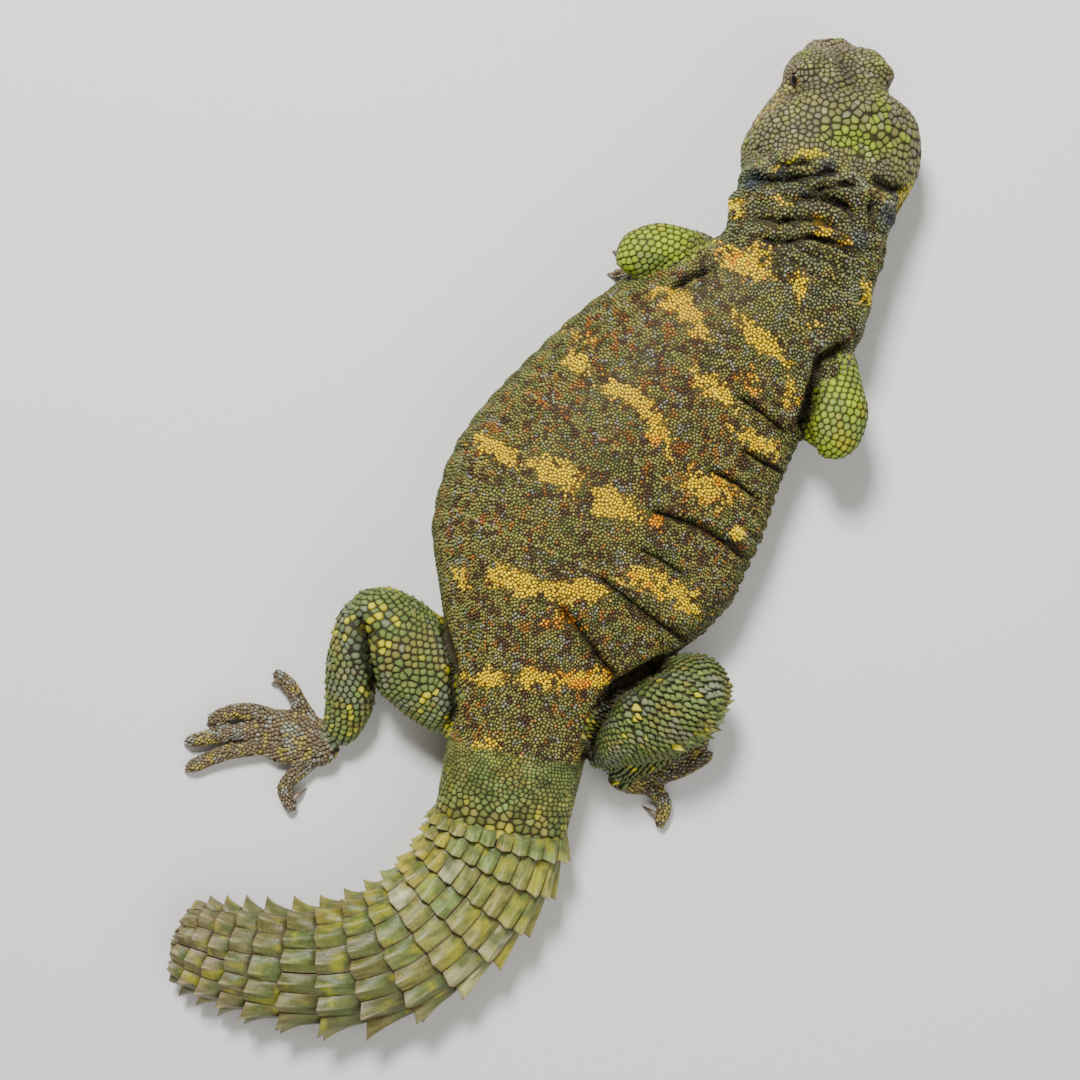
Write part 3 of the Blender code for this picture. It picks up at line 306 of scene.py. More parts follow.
class Form:
    """Cross-sections along a centre line. A point on it is named by t, the distance along, and a turn."""

    def __init__(self, stations, square=None, relief=None):
        rows = np.array(stations, float)
        rows[:, :3] -= MIDDLE
        if rows.shape[1] == 5:      # a limb: rise and drop are both the half height, with no roll
            rows = np.column_stack([rows, rows[:, 4], np.zeros(len(rows))])
        keys = lengths_along(rows[:, :3])
        self.length = keys[-1]
        self.centre = natural_spline(keys, rows[:, :3])
        self.sizes = even_curve(keys, rows[:, 3:])
        self.square = square
        self.relief = relief

    def axes(self, t):
        """Centre, sideways (the animal's right on the body), up and tangent at each t."""
        nudge = 0.05
        ahead, behind = np.minimum(t + nudge, self.length), np.maximum(t - nudge, 0)
        tangent = unit_rows(self.centre(ahead) - self.centre(behind))
        side = unit_rows(np.cross([0.0, 0.0, 1.0], tangent))
        up = np.cross(tangent, side)
        roll = np.radians(self.sizes(t)[:, 3:4])
        low_side = side * np.cos(roll) - (np.array([0.0, 0.0, 1.0]) + tangent * ROLL_SWING) * np.sin(roll)
        return self.centre(t), low_side, up * np.cos(roll) + side * np.sin(roll), tangent

    def at(self, t, turn, out=0.0):
        """Surface points. turn is in degrees: 0 the right side, 90 the top, 180 the left, 270 below."""
        t, turn = np.broadcast_arrays(np.atleast_1d(np.asarray(t, float)), np.asarray(turn, float))
        centre, side, up, _ = self.axes(t)
        width, rise, drop = self.sizes(t)[:, :3].T
        c, s = np.cos(np.radians(turn)), np.sin(np.radians(turn))
        if self.square:
            keys, top, bottom = self.square
            power = np.where(s > 0, np.interp(t, keys, top), np.interp(t, keys, bottom))
        else:
            power = 2.0
        across = width * np.sign(c) * np.abs(c) ** (2 / power)
        height = np.where(s > 0, rise, drop)
        over = height * np.sign(s) * np.abs(s) ** (2 / power)
        lift = out + (self.relief(t, turn) if self.relief else 0.0)
        slant = unit_rows(np.stack([c / width, s / height], axis=1))
        across, over = across + slant[:, 0] * lift, over + slant[:, 1] * lift
        points = centre + side * across[:, None] + up * over[:, None]
        points[:, 2] = np.maximum(points[:, 2], 0.0)
        return points

    def frame_at(self, t, turn, out=0.0):
        """Surface points with the outward normal and the way along the form at each."""
        here = self.at(t, turn, out)
        along = self.at(t + 0.3, turn) - self.at(t - 0.3, turn)
        round_it = self.at(t, turn + 2.0) - self.at(t, turn - 2.0)
        normal = unit_rows(np.cross(round_it, along), TINY)
        outward = here - self.centre(np.atleast_1d(t))
        normal *= np.where((normal * outward).sum(axis=1) < 0, -1.0, 1.0)[:, None]
        return here, normal, unit_rows(along - normal * (along * normal).sum(axis=1)[:, None], TINY)


def bump(t, turn, at_t, at_turn, long, wide, height, full=1.0):
    """A smooth swelling, the same on both sides. full above 1 gives a flat top and steep sides."""
    along = ((t - at_t) / long) ** 2
    right, left = along + ((turn - at_turn) / wide) ** 2, along + ((180 - turn - at_turn) / wide) ** 2
    return height * (np.exp(-right ** full) + np.exp(-left ** full))


def head_shape(t, turn):
    """Brows, snout, temples and the furrows between them."""
    made = bump(t, turn, 10.0, 41, 6.0, 29, 4.3, 1.9)       # lids and brow of each eye
    made += bump(t, turn, 3.9, 58, 1.8, 22, -1.4)           # dip ahead of the brow
    made += bump(t, turn, 4.4, 34, 2.2, 12, 0.4)            # raised rim of each nostril
    made += bump(t, turn, 19.4, 44, 2.4, 20, -1.5)          # hollow behind each eye
    made += bump(t, turn, 30.0, 34, 6.0, 20, 0.8)           # jaw muscle
    made -= 2.0 * swell(t, turn, 13, 90, 7, 11)             # furrow between the brows
    made -= 0.8 * swell(t, turn, 20, 90, 1.6, 9)            # pit behind it
    made += 1.1 * swell(t, turn, 27, 90, 5, 24)             # back of the crown
    return made


plain = np.array(BODY, float)
spine_keys = lengths_along(plain[:, :3])
spine_sizes = even_curve(spine_keys, plain[:, 3:])
mouth_height = natural_spline([p[0] for p in MOUTH_LINE], [[p[1]] for p in MOUTH_LINE])


def mouth_turn(t):
    """The turn at which the line of the mouth crosses a section, on the right side."""
    height = mouth_height(t)[:, 0]
    _, rise, drop = spine_sizes(t)[:, :3].T
    size = np.where(height > 0, rise, drop)
    power = np.interp(t, SQUARE_AT, SQUARE_TOP)
    return np.degrees(np.arcsin(np.sign(height) * np.clip(np.abs(height) / size, 0, 1) ** (power / 2)))


def head_openings(t, turn):
    """Eye sockets, ear slits, nostrils and the line of the mouth."""
    made = bump(t, turn, EYE[0], EYE[1], 1.9, 8.5, -2.2)
    made += bump(t, turn, EAR[0], EAR[1], 0.8, 6.0, -2.2, 1.5)
    made += bump(t, turn, NOSTRIL[0], NOSTRIL[1], 0.8, 6.5, -1.6, 1.5)
    away = np.minimum(np.abs(turn - mouth_turn(t)), np.abs(180 - turn - mouth_turn(t)))
    shut = np.clip((24.5 - t) / 2, 0, 1)
    return made - 0.8 * shut * np.exp(-(np.radians(away) * spine_sizes(t)[:, 0] / 0.55) ** 2)


def waves(t, turn, start, end, top, spread, pitch, slant, height):
    """A run of folds across the body between two distances, strongest at one turn."""
    inside = np.clip((t - start) / 4, 0, 1) * np.clip((end - t) / 4, 0, 1)
    near = np.exp(-((turn - top) / spread) ** 2)
    wander = 0.9 * np.sin(np.radians(turn) * 3.1 + start) + 0.5 * np.sin(np.radians(turn) * 7.3 + 0.2 * t)
    phase = (t + slant * np.radians(turn - top) + wander) / pitch
    return height * inside * near * (np.abs(np.sin(math.pi * phase)) ** 0.6 - 0.6)


def body_folds(t, turn):
    """Loose skin: rings on the nape, a throat pouch, and folds on the neck and flanks."""
    made = waves(t, turn, 39, 66, 85, 62, 3.3, 2.0, 2.9)             # nape
    made += waves(t, turn, 44, 82, 20, 36, 4.2, 6.0, 1.7)            # right side of the neck
    made += waves(t, turn, 44, 78, 165, 36, 4.2, -6.0, 1.5)          # left side of the neck
    made += waves(t, turn, 84, 158, 8, 26, 3.7, 5.0, 3.2)            # right flank
    made += waves(t, turn, 88, 160, 170, 24, 5.6, -5.0, 0.9)         # left flank
    made += 2.0 * swell(t, turn, 50, 178, 3, 10)                     # throat pouch, left
    made += 1.4 * swell(t, turn, 44.5, 176, 2, 8)
    made += 1.4 * swell(t, turn, 53, 2, 4, 12)                       # and right
    return made


def body_relief(t, turn):
    turn = signed_turn(turn)
    return head_shape(t, turn) + head_openings(t, turn) + body_folds(t, turn)


def toe_form(plan, slim=1.0):
    """The flesh of one toe over its joints, rounded at the end."""
    joints = plan[:-1]
    stations = [(x, y, z, r * slim, r * slim) for (x, y), z, r in zip(joints, TOE_HEIGHTS, TOE_THICK)]
    x, y, z, r, _ = stations[-1]
    heading = np.subtract(joints[-1], joints[-2])
    heading = heading / np.linalg.norm(heading)
    ends = [(x + heading[0] * r * on, y + heading[1] * r * on, z - 0.25 * on, r * thick, r * thick)
            for on, thick in TOE_END]
    return Form(stations + ends)


def step_from(origin, distance, degrees):
    way = math.radians(degrees)
    return origin[0] + distance * math.cos(way), origin[1] + distance * math.sin(way)


body = Form(BODY, SQUARE, body_relief)
limbs = {name: Form(stations) for name, stations in LIMBS.items()}
toe_plans = {name: (plans, 1.0) for name, plans in TOES.items()}
for name, (wrist, heading, inward) in HANDS.items():
    limbs[name] = Form([(*step_from(wrist, ahead, heading), *size) for ahead, *size in PALM])
    palm_middle = step_from(wrist, PALM_MIDDLE, heading)
    fingers = [[step_from(palm_middle, FINGER_ROOT + ahead, heading + spread * inward)
                for ahead in (0.0, reach * 0.42, reach * 0.72, reach, reach + FINGER_CLAW)]
               for spread, reach in zip(FINGER_SPREAD, FINGER_REACH)]
    toe_plans[name] = (fingers, FINGER_SLIM)
toes = {name: [toe_form(plan, slim) for plan in plans] for name, (plans, slim) in toe_plans.items()}


def placed(name, data):
    """A new object, linked to the scene."""
    made = bpy.data.objects.new(name, data)
    bpy.context.scene.collection.objects.link(made)
    return made


def mesh_object(name, points, faces):
    """A mesh object from points in millimetres."""
    mesh = bpy.data.meshes.new(name)
    mesh.from_pydata((np.asarray(points) * MM).tolist(), [], [list(map(int, face)) for face in faces])
    return placed(name, mesh)


def tube(stops, around, ring_at):
    """Points and faces of a closed tube: ring_at gives the ring of points at one stop."""
    turns = np.arange(around) * 360.0 / around
    rings = [ring_at(stop, turns) for stop in stops]
    count = len(rings)
    faces = [tuple(range(around))[::-1]]
    for i in range(count - 1):
        for j in range(around):
            k = (j + 1) % around
            faces.append((i * around + j, i * around + k, (i + 1) * around + k, (i + 1) * around + j))
    faces.append(tuple((count - 1) * around + j for j in range(around)))
    return np.vstack(rings), faces


def several(parts):
    """Joins lists of points and faces into one."""
    points, faces, start = [], [], 0
    for some_points, some_faces in parts:
        points.append(some_points)
        faces += [tuple(i + start for i in face) for face in some_faces]
        start += len(some_points)
    return np.vstack(points), faces


def plain_mesh(made):
    """Replaces an object's mesh by what its modifiers make of it."""
    bpy.context.view_layer.update()
    graph = bpy.context.evaluated_depsgraph_get()
    mesh = bpy.data.meshes.new_from_object(made.evaluated_get(graph))
    made.modifiers.clear()
    made.data = mesh
    return made


def ring_of(form):
    return lambda t, turns: form.at(np.full(len(turns), t), turns, -SKIN_DEPTH)


def crease_at(points, up):
    """How deep the creases cut at each place that faces up, and how close to one it is, from 0 to 1."""
    cut, lip, close = np.zeros(len(points)), np.zeros(len(points)), np.zeros(len(points))
    for half, depth, line in CREASES:
        half, depth, line = half * CREASE_WIDER, depth + CREASE_DEEPER, np.array(line)
        along = lengths_along(line)
        nearest, place = np.full(len(points), 1e3), np.zeros(len(points))
        for a, b, start in zip(line, line[1:], along):
            way = b - a
            share = np.clip(((points[:, :2] - a) @ way) / (way @ way), 0, 1)
            far = np.linalg.norm(points[:, :2] - a - share[:, None] * way, axis=1)
            closer = far < nearest
            nearest[closer] = far[closer]
            place[closer] = start + share[closer] * np.linalg.norm(way)
        fade = np.clip(place / CREASE_FADE, 0, 1) * np.clip((along[-1] - place) / CREASE_FADE, 0, 1)
        here = np.exp(-(nearest / half) ** 2) * fade
        cut = np.maximum(cut, depth * here)
        close = np.maximum(close, here)
        lip = np.maximum(lip, LIP_HIGH * depth * fade * np.exp(-((nearest / half - LIP_AT) / LIP_WIDE) ** 2))
    facing = np.clip(up * CREASE_FACING, 0, 1)
    return (cut - lip * (1 - close)) * facing, close * facing


HEAD_STEP, TRUNK_STEP, LIMB_STEP = 0.45, 0.7, 0.8    # between the rings of the tubes
BODY_AROUND, LIMB_AROUND = 260, 40
head_stops = np.arange(0, HEAD_END, HEAD_STEP)
trunk_stops = np.arange(HEAD_END, body.length, TRUNK_STEP)
parts = [tube([*head_stops, *trunk_stops, body.length], BODY_AROUND, ring_of(body))]
for form in [*limbs.values(), *(toe for some in toes.values() for toe in some)]:
    stops = np.linspace(0, form.length, int(form.length / LIMB_STEP) + 3)
    parts.append(tube(stops, LIMB_AROUND, ring_of(form)))
skin = mesh_object("skin", *several(parts))
remesh = skin.modifiers.new("one sheet", "REMESH")
remesh.mode = "VOXEL"
remesh.voxel_size = VOXEL * MM
soften = skin.modifiers.new("soften", "SMOOTH")
soften.factor = 0.5
soften.iterations = 1
plain_mesh(skin)


def columns_of(collection, field, width):
    """One field of every item of a Blender collection, as an array."""
    values = np.empty(len(collection) * width)
    collection.foreach_get(field, values)
    return values.reshape(-1, width)


skin_points = columns_of(skin.data.vertices, "co", 3) / MM
skin_normals = columns_of(skin.data.vertices, "normal", 3)
skin_points -= skin_normals * crease_at(skin_points, skin_normals[:, 2])[0][:, None]
skin_points[:, 2] = np.maximum(skin_points[:, 2], FLOOR_CLEAR)
skin.data.vertices.foreach_set("co", (skin_points * MM).ravel())
skin.data.update()
skin.data.shade_smooth()
skin_normals = columns_of(skin.data.vertices, "normal", 3)
skin_tree = tree_of(skin_points)
skin_surface = BVHTree.FromPolygons(skin_points.tolist(), [list(p.vertices) for p in skin.data.polygons])
print("skin faces", len(skin.data.polygons))


def noise(points, size, seed):
    """Smooth values from 0 to 1 that change over about the given size."""
    grid = np.asarray(points) / size + seed * 17.3
    cell = np.floor(grid)
    part = grid - cell
    part = part * part * (3 - 2 * part)
    total = np.zeros(len(grid))
    for corner in np.ndindex(2, 2, 2):
        wild = np.sin((cell + corner) @ np.array([127.1, 311.7, 74.7]) + seed * 1.7) * 43758.5453
        weight = np.prod(np.where(np.array(corner) == 1, part, 1 - part), axis=1)
        total += (wild - np.floor(wild)) * weight
    return total


def ramp(value, low, high):
    """0 below the low value, 1 above the high one, smooth between."""
    part = np.clip((value - low) / (high - low), 0, 1)
    return part * part * (3 - 2 * part)


def blend(first, second, share):
    return first + (np.asarray(second) - first) * np.asarray(share)[:, None]


def plain_colour(points, colour):
    return np.tile(colour, (len(points), 1))


def layered(points, chance, colour, layers):
    """A base colour under soft patches. Each layer is a tint, its greatest share, the patches' size, a
    seed, the noise at which they start and are full, and how far single scales stray from them."""
    colour = plain_colour(points, colour)
    for tint, most, size, seed, low, high, stray in layers:
        share = most * ramp(noise(points, size, seed) + stray * (chance - 0.5), low, high)
        colour = blend(colour, tint, share)
    return colour


# Colours of the scales, as the shares of red, green and blue light that they reflect.
BROWN = np.array([0.100, 0.060, 0.028])
OLIVE = np.array([0.270, 0.248, 0.060])
GREEN = np.array([0.140, 0.190, 0.050])
SLATE = np.array([0.270, 0.290, 0.250])
RUST = np.array([0.420, 0.130, 0.012])
YELLOW = np.array([1.000, 0.610, 0.000])
ORANGE = np.array([0.950, 0.320, 0.003])
LIME = np.array([0.270, 0.370, 0.020])
NIGHT = np.array([0.030, 0.040, 0.052])
CREAM = np.array([0.620, 0.600, 0.340])
EARTH = np.array([0.250, 0.190, 0.105])
SEAM_BROWN = np.array([0.040, 0.024, 0.012])
# Broken cross-bars of the back: x, y, half length, half width, slope in degrees, orange share, strength.
BARS = [
    (47.7, 64.5, 6.4, 2.4, -35, 0.5, 1.0), (59.9, 59.3, 4.0, 1.7, -70, 0.1, 0.9),
    (33.8, 52.5, 7.0, 2.3, -55, 0.3, 1.0), (27.3, 59.0, 3.0, 1.4, 5, 0.0, 0.8),
    (51.7, 45.6, 7.4, 1.6, -43, 0.2, 1.0), (40.4, 34.6, 6.6, 1.8, -43, 0.2, 0.8),
    (48.6, 36.2, 4.2, 2.4, -60, 1.0, 0.5), (58.5, 35.1, 3.0, 1.5, -88, 0.0, 0.9),
    (8.9, 41.6, 3.0, 2.2, -70, 0.1, 0.9), (9.5, 48.6, 4.6, 1.6, -20, 0.6, 0.5),
    (18.7, 33.4, 5.8, 2.4, -25, 0.4, 1.0), (26.5, 26.4, 6.6, 2.0, -58, 0.5, 1.0),
    (50.5, 22.6, 5.6, 1.9, -25, 0.2, 0.8), (-10.7, 20.2, 6.2, 2.4, -38, 0.0, 1.0),
    (3.7, 14.1, 5.6, 2.7, -25, 0.1, 1.1), (16.6, 7.5, 6.2, 2.7, -27, 0.2, 1.1),
    (27.0, 3.1, 2.6, 1.8, -30, 1.0, 0.7), (38.7, 11.5, 5.8, 3.0, -25, 0.5, 0.9),
    (45.8, 0.5, 2.6, 1.8, -20, 0.1, 0.8), (-20.1, -9.6, 3.6, 1.8, -50, 0.2, 0.7),
    (-4.5, -11.0, 8.0, 2.3, -12, 0.1, 1.0), (8.0, -12.6, 7.0, 2.3, -2, 0.3, 1.0),
    (25.0, -10.4, 6.0, 2.2, -16, 0.5, 0.9), (33.5, -14.6, 5.4, 2.2, -38, 0.0, 1.0),
    (-12.5, -33.6, 5.0, 1.9, -4, 0.1, 0.8), (-1.5, -33.6, 5.0, 2.2, 0, 0.3, 1.0),
    (9.5, -33.4, 6.4, 2.2, 3, 0.6, 0.9), (-12.3, -50.5, 6.4, 2.0, -20, 0.1, 0.45),
    (5.3, -20.0, 5.2, 1.9, -20, 1.0, 0.55), (65.8, 72.7, 3.2, 1.8, -20, 0.5, 0.8),
    (63.7, 49.9, 3.2, 1.7, 30, 0.4, 0.4), (76.8, 58.1, 2.0, 2.4, 0, 0.1, 0.8),
    (61.0, 88.9, 6.4, 0.6, 12, 0.0, 0.85), (87.4, 81.3, 1.7, 3.2, -15, 0.0, 1.1),
    (46.1, 77.7, 1.8, 2.0, 0, 0.0, 0.7), (-12.9, -69.2, 2.4, 1.6, 0, 0.9, 0.8),
    (57.5, 78.4, 5.0, 1.0, -5, 0.2, 0.6), (52.0, 67.5, 4.0, 1.6, -30, 0.1, 0.6),
    (70.5, 69.0, 2.4, 1.6, -40, 0.6, 0.6),
]
# Dark patches of the nape: x, y and radius.
NIGHTS = [(81.5, 76.5, 3.6), (84.0, 81.5, 2.4), (50.0, 84.6, 3.0), (56.0, 84.4, 2.4), (66.5, 86.2, 2.6),
          (60.5, 80.4, 2.0), (75.0, 70.0, 2.6)]
# Pale plates of the tail: x, y and radius.
PALES = [(-10.0, -94.8, 3.4), (-24.1, -105.4, 3.2), (-32.3, -86.5, 3.2), (-7.0, -77.0, 1.8),
         (-44.0, -103.0, 2.2), (-15.8, -103.8, 2.8), (-0.5, -87.2, 2.6), (-20.1, -79.9, 2.4)]


def bar_strength(points):
    """How strongly a cross-bar covers each point, and how orange it is there."""
    wobble = 3.4 * (noise(points, 3.2, 3) - 0.5), 3.4 * (noise(points, 3.2, 4) - 0.5)
    strength, orange = np.zeros(len(points)), np.zeros(len(points))
    for x, y, long, wide, slope, tint, full in BARS:
        way = math.radians(slope)
        dx, dy = points[:, 0] - x + wobble[0], points[:, 1] - y + wobble[1]
        along = (dx * math.cos(way) + dy * math.sin(way)) / long
        across = (dy * math.cos(way) - dx * math.sin(way)) / (wide * 1.1)
        here = full * np.exp(-(along ** 2 + across ** 2) ** 1.3 * 0.8)
        orange = np.where(here > strength, tint, orange)
        strength = np.maximum(strength, here)
    return strength, orange


def spread_of(turn):
    """Degrees away from the middle of the back."""
    return np.abs((turn + 90) % 360 - 180)


def back_colour(points, t, turn, chance):
    """Speckled olive, brown and slate with broken yellow bars; greener and darker down the flanks."""
    net = noise(points, 1.25, 11) + 0.15 * (noise(points, 8.0, 12) - 0.5) + 0.12 * (chance - 0.5)
    colour = blend(plain_colour(points, BROWN), OLIVE, ramp(net, 0.32, 0.56))
    colour = blend(colour, GREEN, 0.6 * ramp(noise(points, 1.9, 13), 0.5, 0.75))
    cool = noise(points, 1.1, 14) + 0.25 * (chance - 0.5)
    colour = blend(colour, SLATE * 0.85, 0.7 * ramp(cool, 0.68, 0.86))
    middle = ramp(t, 70, 95)
    rust = noise(points, 1.3, 15) + 0.25 * (noise(points, 9.0, 18) - 0.5) + 0.12 * (chance - 0.5)
    colour = blend(colour, RUST, (0.2 + 0.45 * middle) * ramp(rust, 0.68, 0.86))
    low_side = ramp(spread_of(turn), 55, 92)
    colour = blend(colour, GREEN * 0.42 + OLIVE * 0.05, 0.9 * low_side)
    strength, orange = bar_strength(points)
    colour = blend(colour, BROWN * 0.9, 0.35 * ramp(strength, 0.06, 0.3))
    sprinkle = (noise(points, 1.0, 16) - 0.5) * 1.0 + (chance - 0.5) * 0.3
    share = ramp(strength + sprinkle, 0.34, 0.58) * ramp(strength, 0.03, 0.2)
    gold = blend(plain_colour(points, YELLOW), OLIVE, 0.6 * ramp(chance, 0.78, 0.95))
    tint = blend(gold, ORANGE, ramp(orange + 1.2 * (noise(points, 1.8, 17) - 0.5), 0.5, 0.95))
    colour = blend(colour, tint * 1.2, share)
    return colour * (0.7 + 0.6 * chance)[:, None]


def nape_colour(points, t, turn, chance):
    """The back's colours with dark patches on the nape, painted shade in the hollows between the folds and
    painted light on their crests.
    """
    colour = back_colour(points, t, turn, chance)
    dark = NIGHT * (1 + 2.5 * ramp(chance, 0.5, 0.9))[:, None]
    for x, y, radius in NIGHTS:
        near = np.hypot(points[:, 0] - x, points[:, 1] - y) / radius + 0.7 * (noise(points, 1.8, 24) - 0.5)
        colour = blend(colour, dark, 0.9 * ramp(near, 1.1, 0.6))
    cool = ramp(t, 84, 66) * ramp(noise(points, 2.2, 29) + 0.4 * (chance - 0.5), 0.35, 0.7)
    colour = blend(colour, SLATE * 0.35 + GREEN * 0.45, 0.6 * cool * ramp(bar_strength(points)[0], 0.4, 0.1))
    # Painted shade in the fold hollows and painted light on the fold crests, by the depth of the folds.
    relief = body_folds(t, signed_turn(turn))
    return colour * (1 + 0.62 * np.clip(relief, -1.2, 0.35))[:, None]


def head_colour(points, t, turn, chance):
    """Olive crown with lime plates behind it, greyer snout and lids, a dark nape, and painted shade in the
    furrow between the brows and in the hollow behind each eye.
    """
    away = spread_of(turn)
    patch = noise(points, 3.6, 21) + 0.5 * (chance - 0.5)
    colour = blend(plain_colour(points, [0.205, 0.195, 0.062]), [0.14, 0.125, 0.070], ramp(patch, 0.35, 0.75))
    dull = np.maximum(ramp(t, 7.5, 4.0), swell(t, away, 12, 66, 5, 22))
    colour = blend(colour, EARTH * 0.85, 0.85 * dull)
    lime = swell(t, away, 33.5, 0, 4.4, 26)
    lime = np.maximum(lime, 0.6 * swell(t, away, 12, 34, 4, 15))
    lime = np.maximum(lime, 0.75 * ramp(noise(points, 4.5, 30), 0.6, 0.85))
    colour = blend(colour, LIME * 0.8, 0.85 * ramp(lime + 0.5 * (chance - 0.5), 0.35, 0.95))
    pale = noise(points, 2.6, 22) + 0.6 * (noise(points, 0.9, 25) - 0.5)
    colour = blend(colour, CREAM * 0.6, 0.4 * ramp(pale, 0.74, 0.95))
    colour = blend(colour, SLATE * 0.6, 0.4 * ramp(noise(points, 1.7, 26), 0.72, 0.86))
    under_eye = swell(t, away, 21, 72, 4.5, 12)
    colour = blend(colour, YELLOW * 0.5 + EARTH * 0.5, 0.8 * under_eye * ramp(chance, 0.3, 0.7))
    back = nape_colour(points, t, turn, chance)
    colour = blend(colour, back, ramp(t + 4 * (noise(points, 3, 27) - 0.5), 37.5, 42.5))
    strength, _ = bar_strength(points)
    colour = blend(colour, YELLOW * 0.4 + LIME * 0.6, ramp(strength + 0.4 * (chance - 0.5), 0.25, 0.55))
    colour = blend(colour, OLIVE * 0.6 + CREAM * 0.3, 0.6 * ramp(away, 118, 145))
    # Painted shade in the furrow between the brows and in the hollow behind each eye.
    furrow_shade = swell(t, away, 15, 0, 7, 10)
    furrow_shade = np.maximum(furrow_shade, swell(t, away, 19.6, 46, 1.8, 22))
    vary = 0.55 + 0.45 * noise(points, 0.8, 28) + 0.4 * chance
    return colour * (vary * (1 - 0.45 * furrow_shade))[:, None]


def arm_colour(points, t, turn, chance):
    """Bright lime, darker green towards the edges of the arm."""
    colour = layered(points, chance, LIME, [(GREEN * 0.9, 0.75, 4.2, 31, 0.45, 0.85, 0.4),
                                            (YELLOW * 0.4, 0.4, 3.0, 32, 0.66, 0.9, 0.0)])
    edge = 0.75 * ramp(spread_of(turn), 45, 100)
    return blend(colour, OLIVE * 0.45, edge) * (0.8 + 0.4 * chance)[:, None]


def thigh_colour(points, t, turn, chance):
    """Dark green with yellow and lime spots."""
    layers = [(OLIVE * 0.55, 1.0, 3.0, 41, 0.4, 0.85, 0.5), (SLATE * 0.5, 0.5, 3.4, 43, 0.5, 0.75, 0.0),
              (LIME * 0.6 + YELLOW * 0.25, 0.85, 3.0, 42, 0.72, 0.84, 0.3)]
    return layered(points, chance, GREEN * 0.85, layers) * (0.9 + 0.5 * chance)[:, None]


def foot_colour(points, t, turn, chance):
    """Grey-brown with dull yellow flecks."""
    layers = [(SLATE * 0.9, 0.7, 1.6, 51, 0.5, 0.8, 0.5),
              (OLIVE * 0.75 + YELLOW * 0.1, 0.8, 1.6, 52, 0.6, 0.8, 0.4)]
    return layered(points, chance, EARTH * 0.72, layers) * (0.75 + 0.6 * chance)[:, None]


def tail_colour(points, t, turn, chance):
    """Olive green, yellow along the inside of the bend, some cream plates, brown towards the tip."""
    turn = signed_turn(turn)
    patch = noise(points, 6.0, 61) + 0.5 * (chance - 0.5)
    colour = blend(plain_colour(points, OLIVE), GREEN * 1.5, ramp(patch, 0.3, 0.75))
    gold = 0.75 * ramp(turn, 95, 165) * ramp(noise(points, 4.0, 62) + 0.5 * (chance - 0.5), 0.4, 0.75)
    gold = gold * (0.25 + 0.75 * ramp(t, 208, 224))
    colour = blend(colour, YELLOW * 0.36 + LIME * 0.4, gold * ramp(t, 300, 270))
    stray = noise(points, 3.4, 65) + 0.3 * (chance - 0.5)
    colour = blend(colour, YELLOW * 0.28 + LIME * 0.6, 0.7 * ramp(stray, 0.68, 0.85))
    colour = blend(colour, EARTH * 0.8, 0.6 * ramp(turn, 80, 25) * ramp(t, 235, 260))
    colour = colour * (1 - 0.5 * ramp(t, 243, 264))[:, None]
    for x, y, radius in PALES:
        near = np.hypot(points[:, 0] - x, points[:, 1] - y) / radius
        colour = blend(colour, CREAM * 0.85, 0.9 * ramp(near, 1.1, 0.8))
    return blend(colour, EARTH * 0.8, 0.75 * ramp(t + 8 * (noise(points, 9, 64) - 0.5), 285, 305))


def paint(mesh, colours):
    """Puts a colour on every vertex."""
    layer = mesh.color_attributes.new("Col", "FLOAT_COLOR", "POINT")
    layer.data.foreach_set("color", np.column_stack([np.clip(colours, 0, 1), np.ones(len(colours))]).ravel())


def coloured_material(name, roughness, grain, depth, shine=0.32):
    """Takes its colour from the painted vertices, with a fine grain in its tone, gloss and surface."""
    made = bpy.data.materials.new(name)
    made.use_nodes = True
    nodes, links = made.node_tree.nodes, made.node_tree.links
    shader = nodes["Principled BSDF"]
    shader.inputs["Specular IOR Level"].default_value = shine
    paint_node = nodes.new("ShaderNodeVertexColor")
    paint_node.layer_name = "Col"
    place = nodes.new("ShaderNodeTexCoord")
    fine = nodes.new("ShaderNodeTexNoise")
    fine.inputs["Scale"].default_value = 1 / (grain * MM)
    fine.inputs["Detail"].default_value = 3.0
    relief = nodes.new("ShaderNodeBump")
    relief.inputs["Strength"].default_value = 0.6
    relief.inputs["Distance"].default_value = depth * MM
    tone = nodes.new("ShaderNodeMix")
    tone.data_type = "RGBA"
    tone.blend_type = "MULTIPLY"
    tone.inputs["Factor"].default_value = 0.5
    links.new(place.outputs["Object"], fine.inputs["Vector"])
    links.new(fine.outputs["Fac"], relief.inputs["Height"])
    rough = (shader.inputs["Roughness"], roughness - 0.1, roughness + 0.12)
    for socket, low, high in ((tone.inputs["B"], 0.55, 1.3), rough):
        spread = nodes.new("ShaderNodeMapRange")
        spread.inputs["From Min"].default_value = 0.3
        spread.inputs["From Max"].default_value = 0.7
        spread.inputs["To Min"].default_value = low
        spread.inputs["To Max"].default_value = high
        links.new(fine.outputs["Fac"], spread.inputs["Value"])
        links.new(spread.outputs["Result"], socket)
    links.new(paint_node.outputs["Color"], tone.inputs["A"])
    links.new(tone.outputs["Result"], shader.inputs["Base Color"])
    links.new(relief.outputs["Normal"], shader.inputs["Normal"])
    return made


# Every skin vertex takes the colour of the scales around it, much darker, as painted shade in their seams,
# with a little dark brown added.
SEAM_SHADE = 0.08
sample_places, sample_colours = [], []
rng = np.random.default_rng(7)
LIMB_COLOURS = {"upper_arm": arm_colour, "forearm": arm_colour, "thigh": thigh_colour, "shin": thigh_colour,
                "hand": foot_colour, "foot": foot_colour}


def sample_form(form, colour_of, start, end, step=1.6):
    """Colours over one form, for the skin to pick up."""
    t, turn = np.meshgrid(np.arange(start, end, step), np.arange(0, 360, 6.0))
    t, turn = t.ravel(), turn.ravel()
    places = form.at(t, turn)
    sample_places.append(places)
    sample_colours.append(colour_of(places, t, turn, rng.random(len(t))))


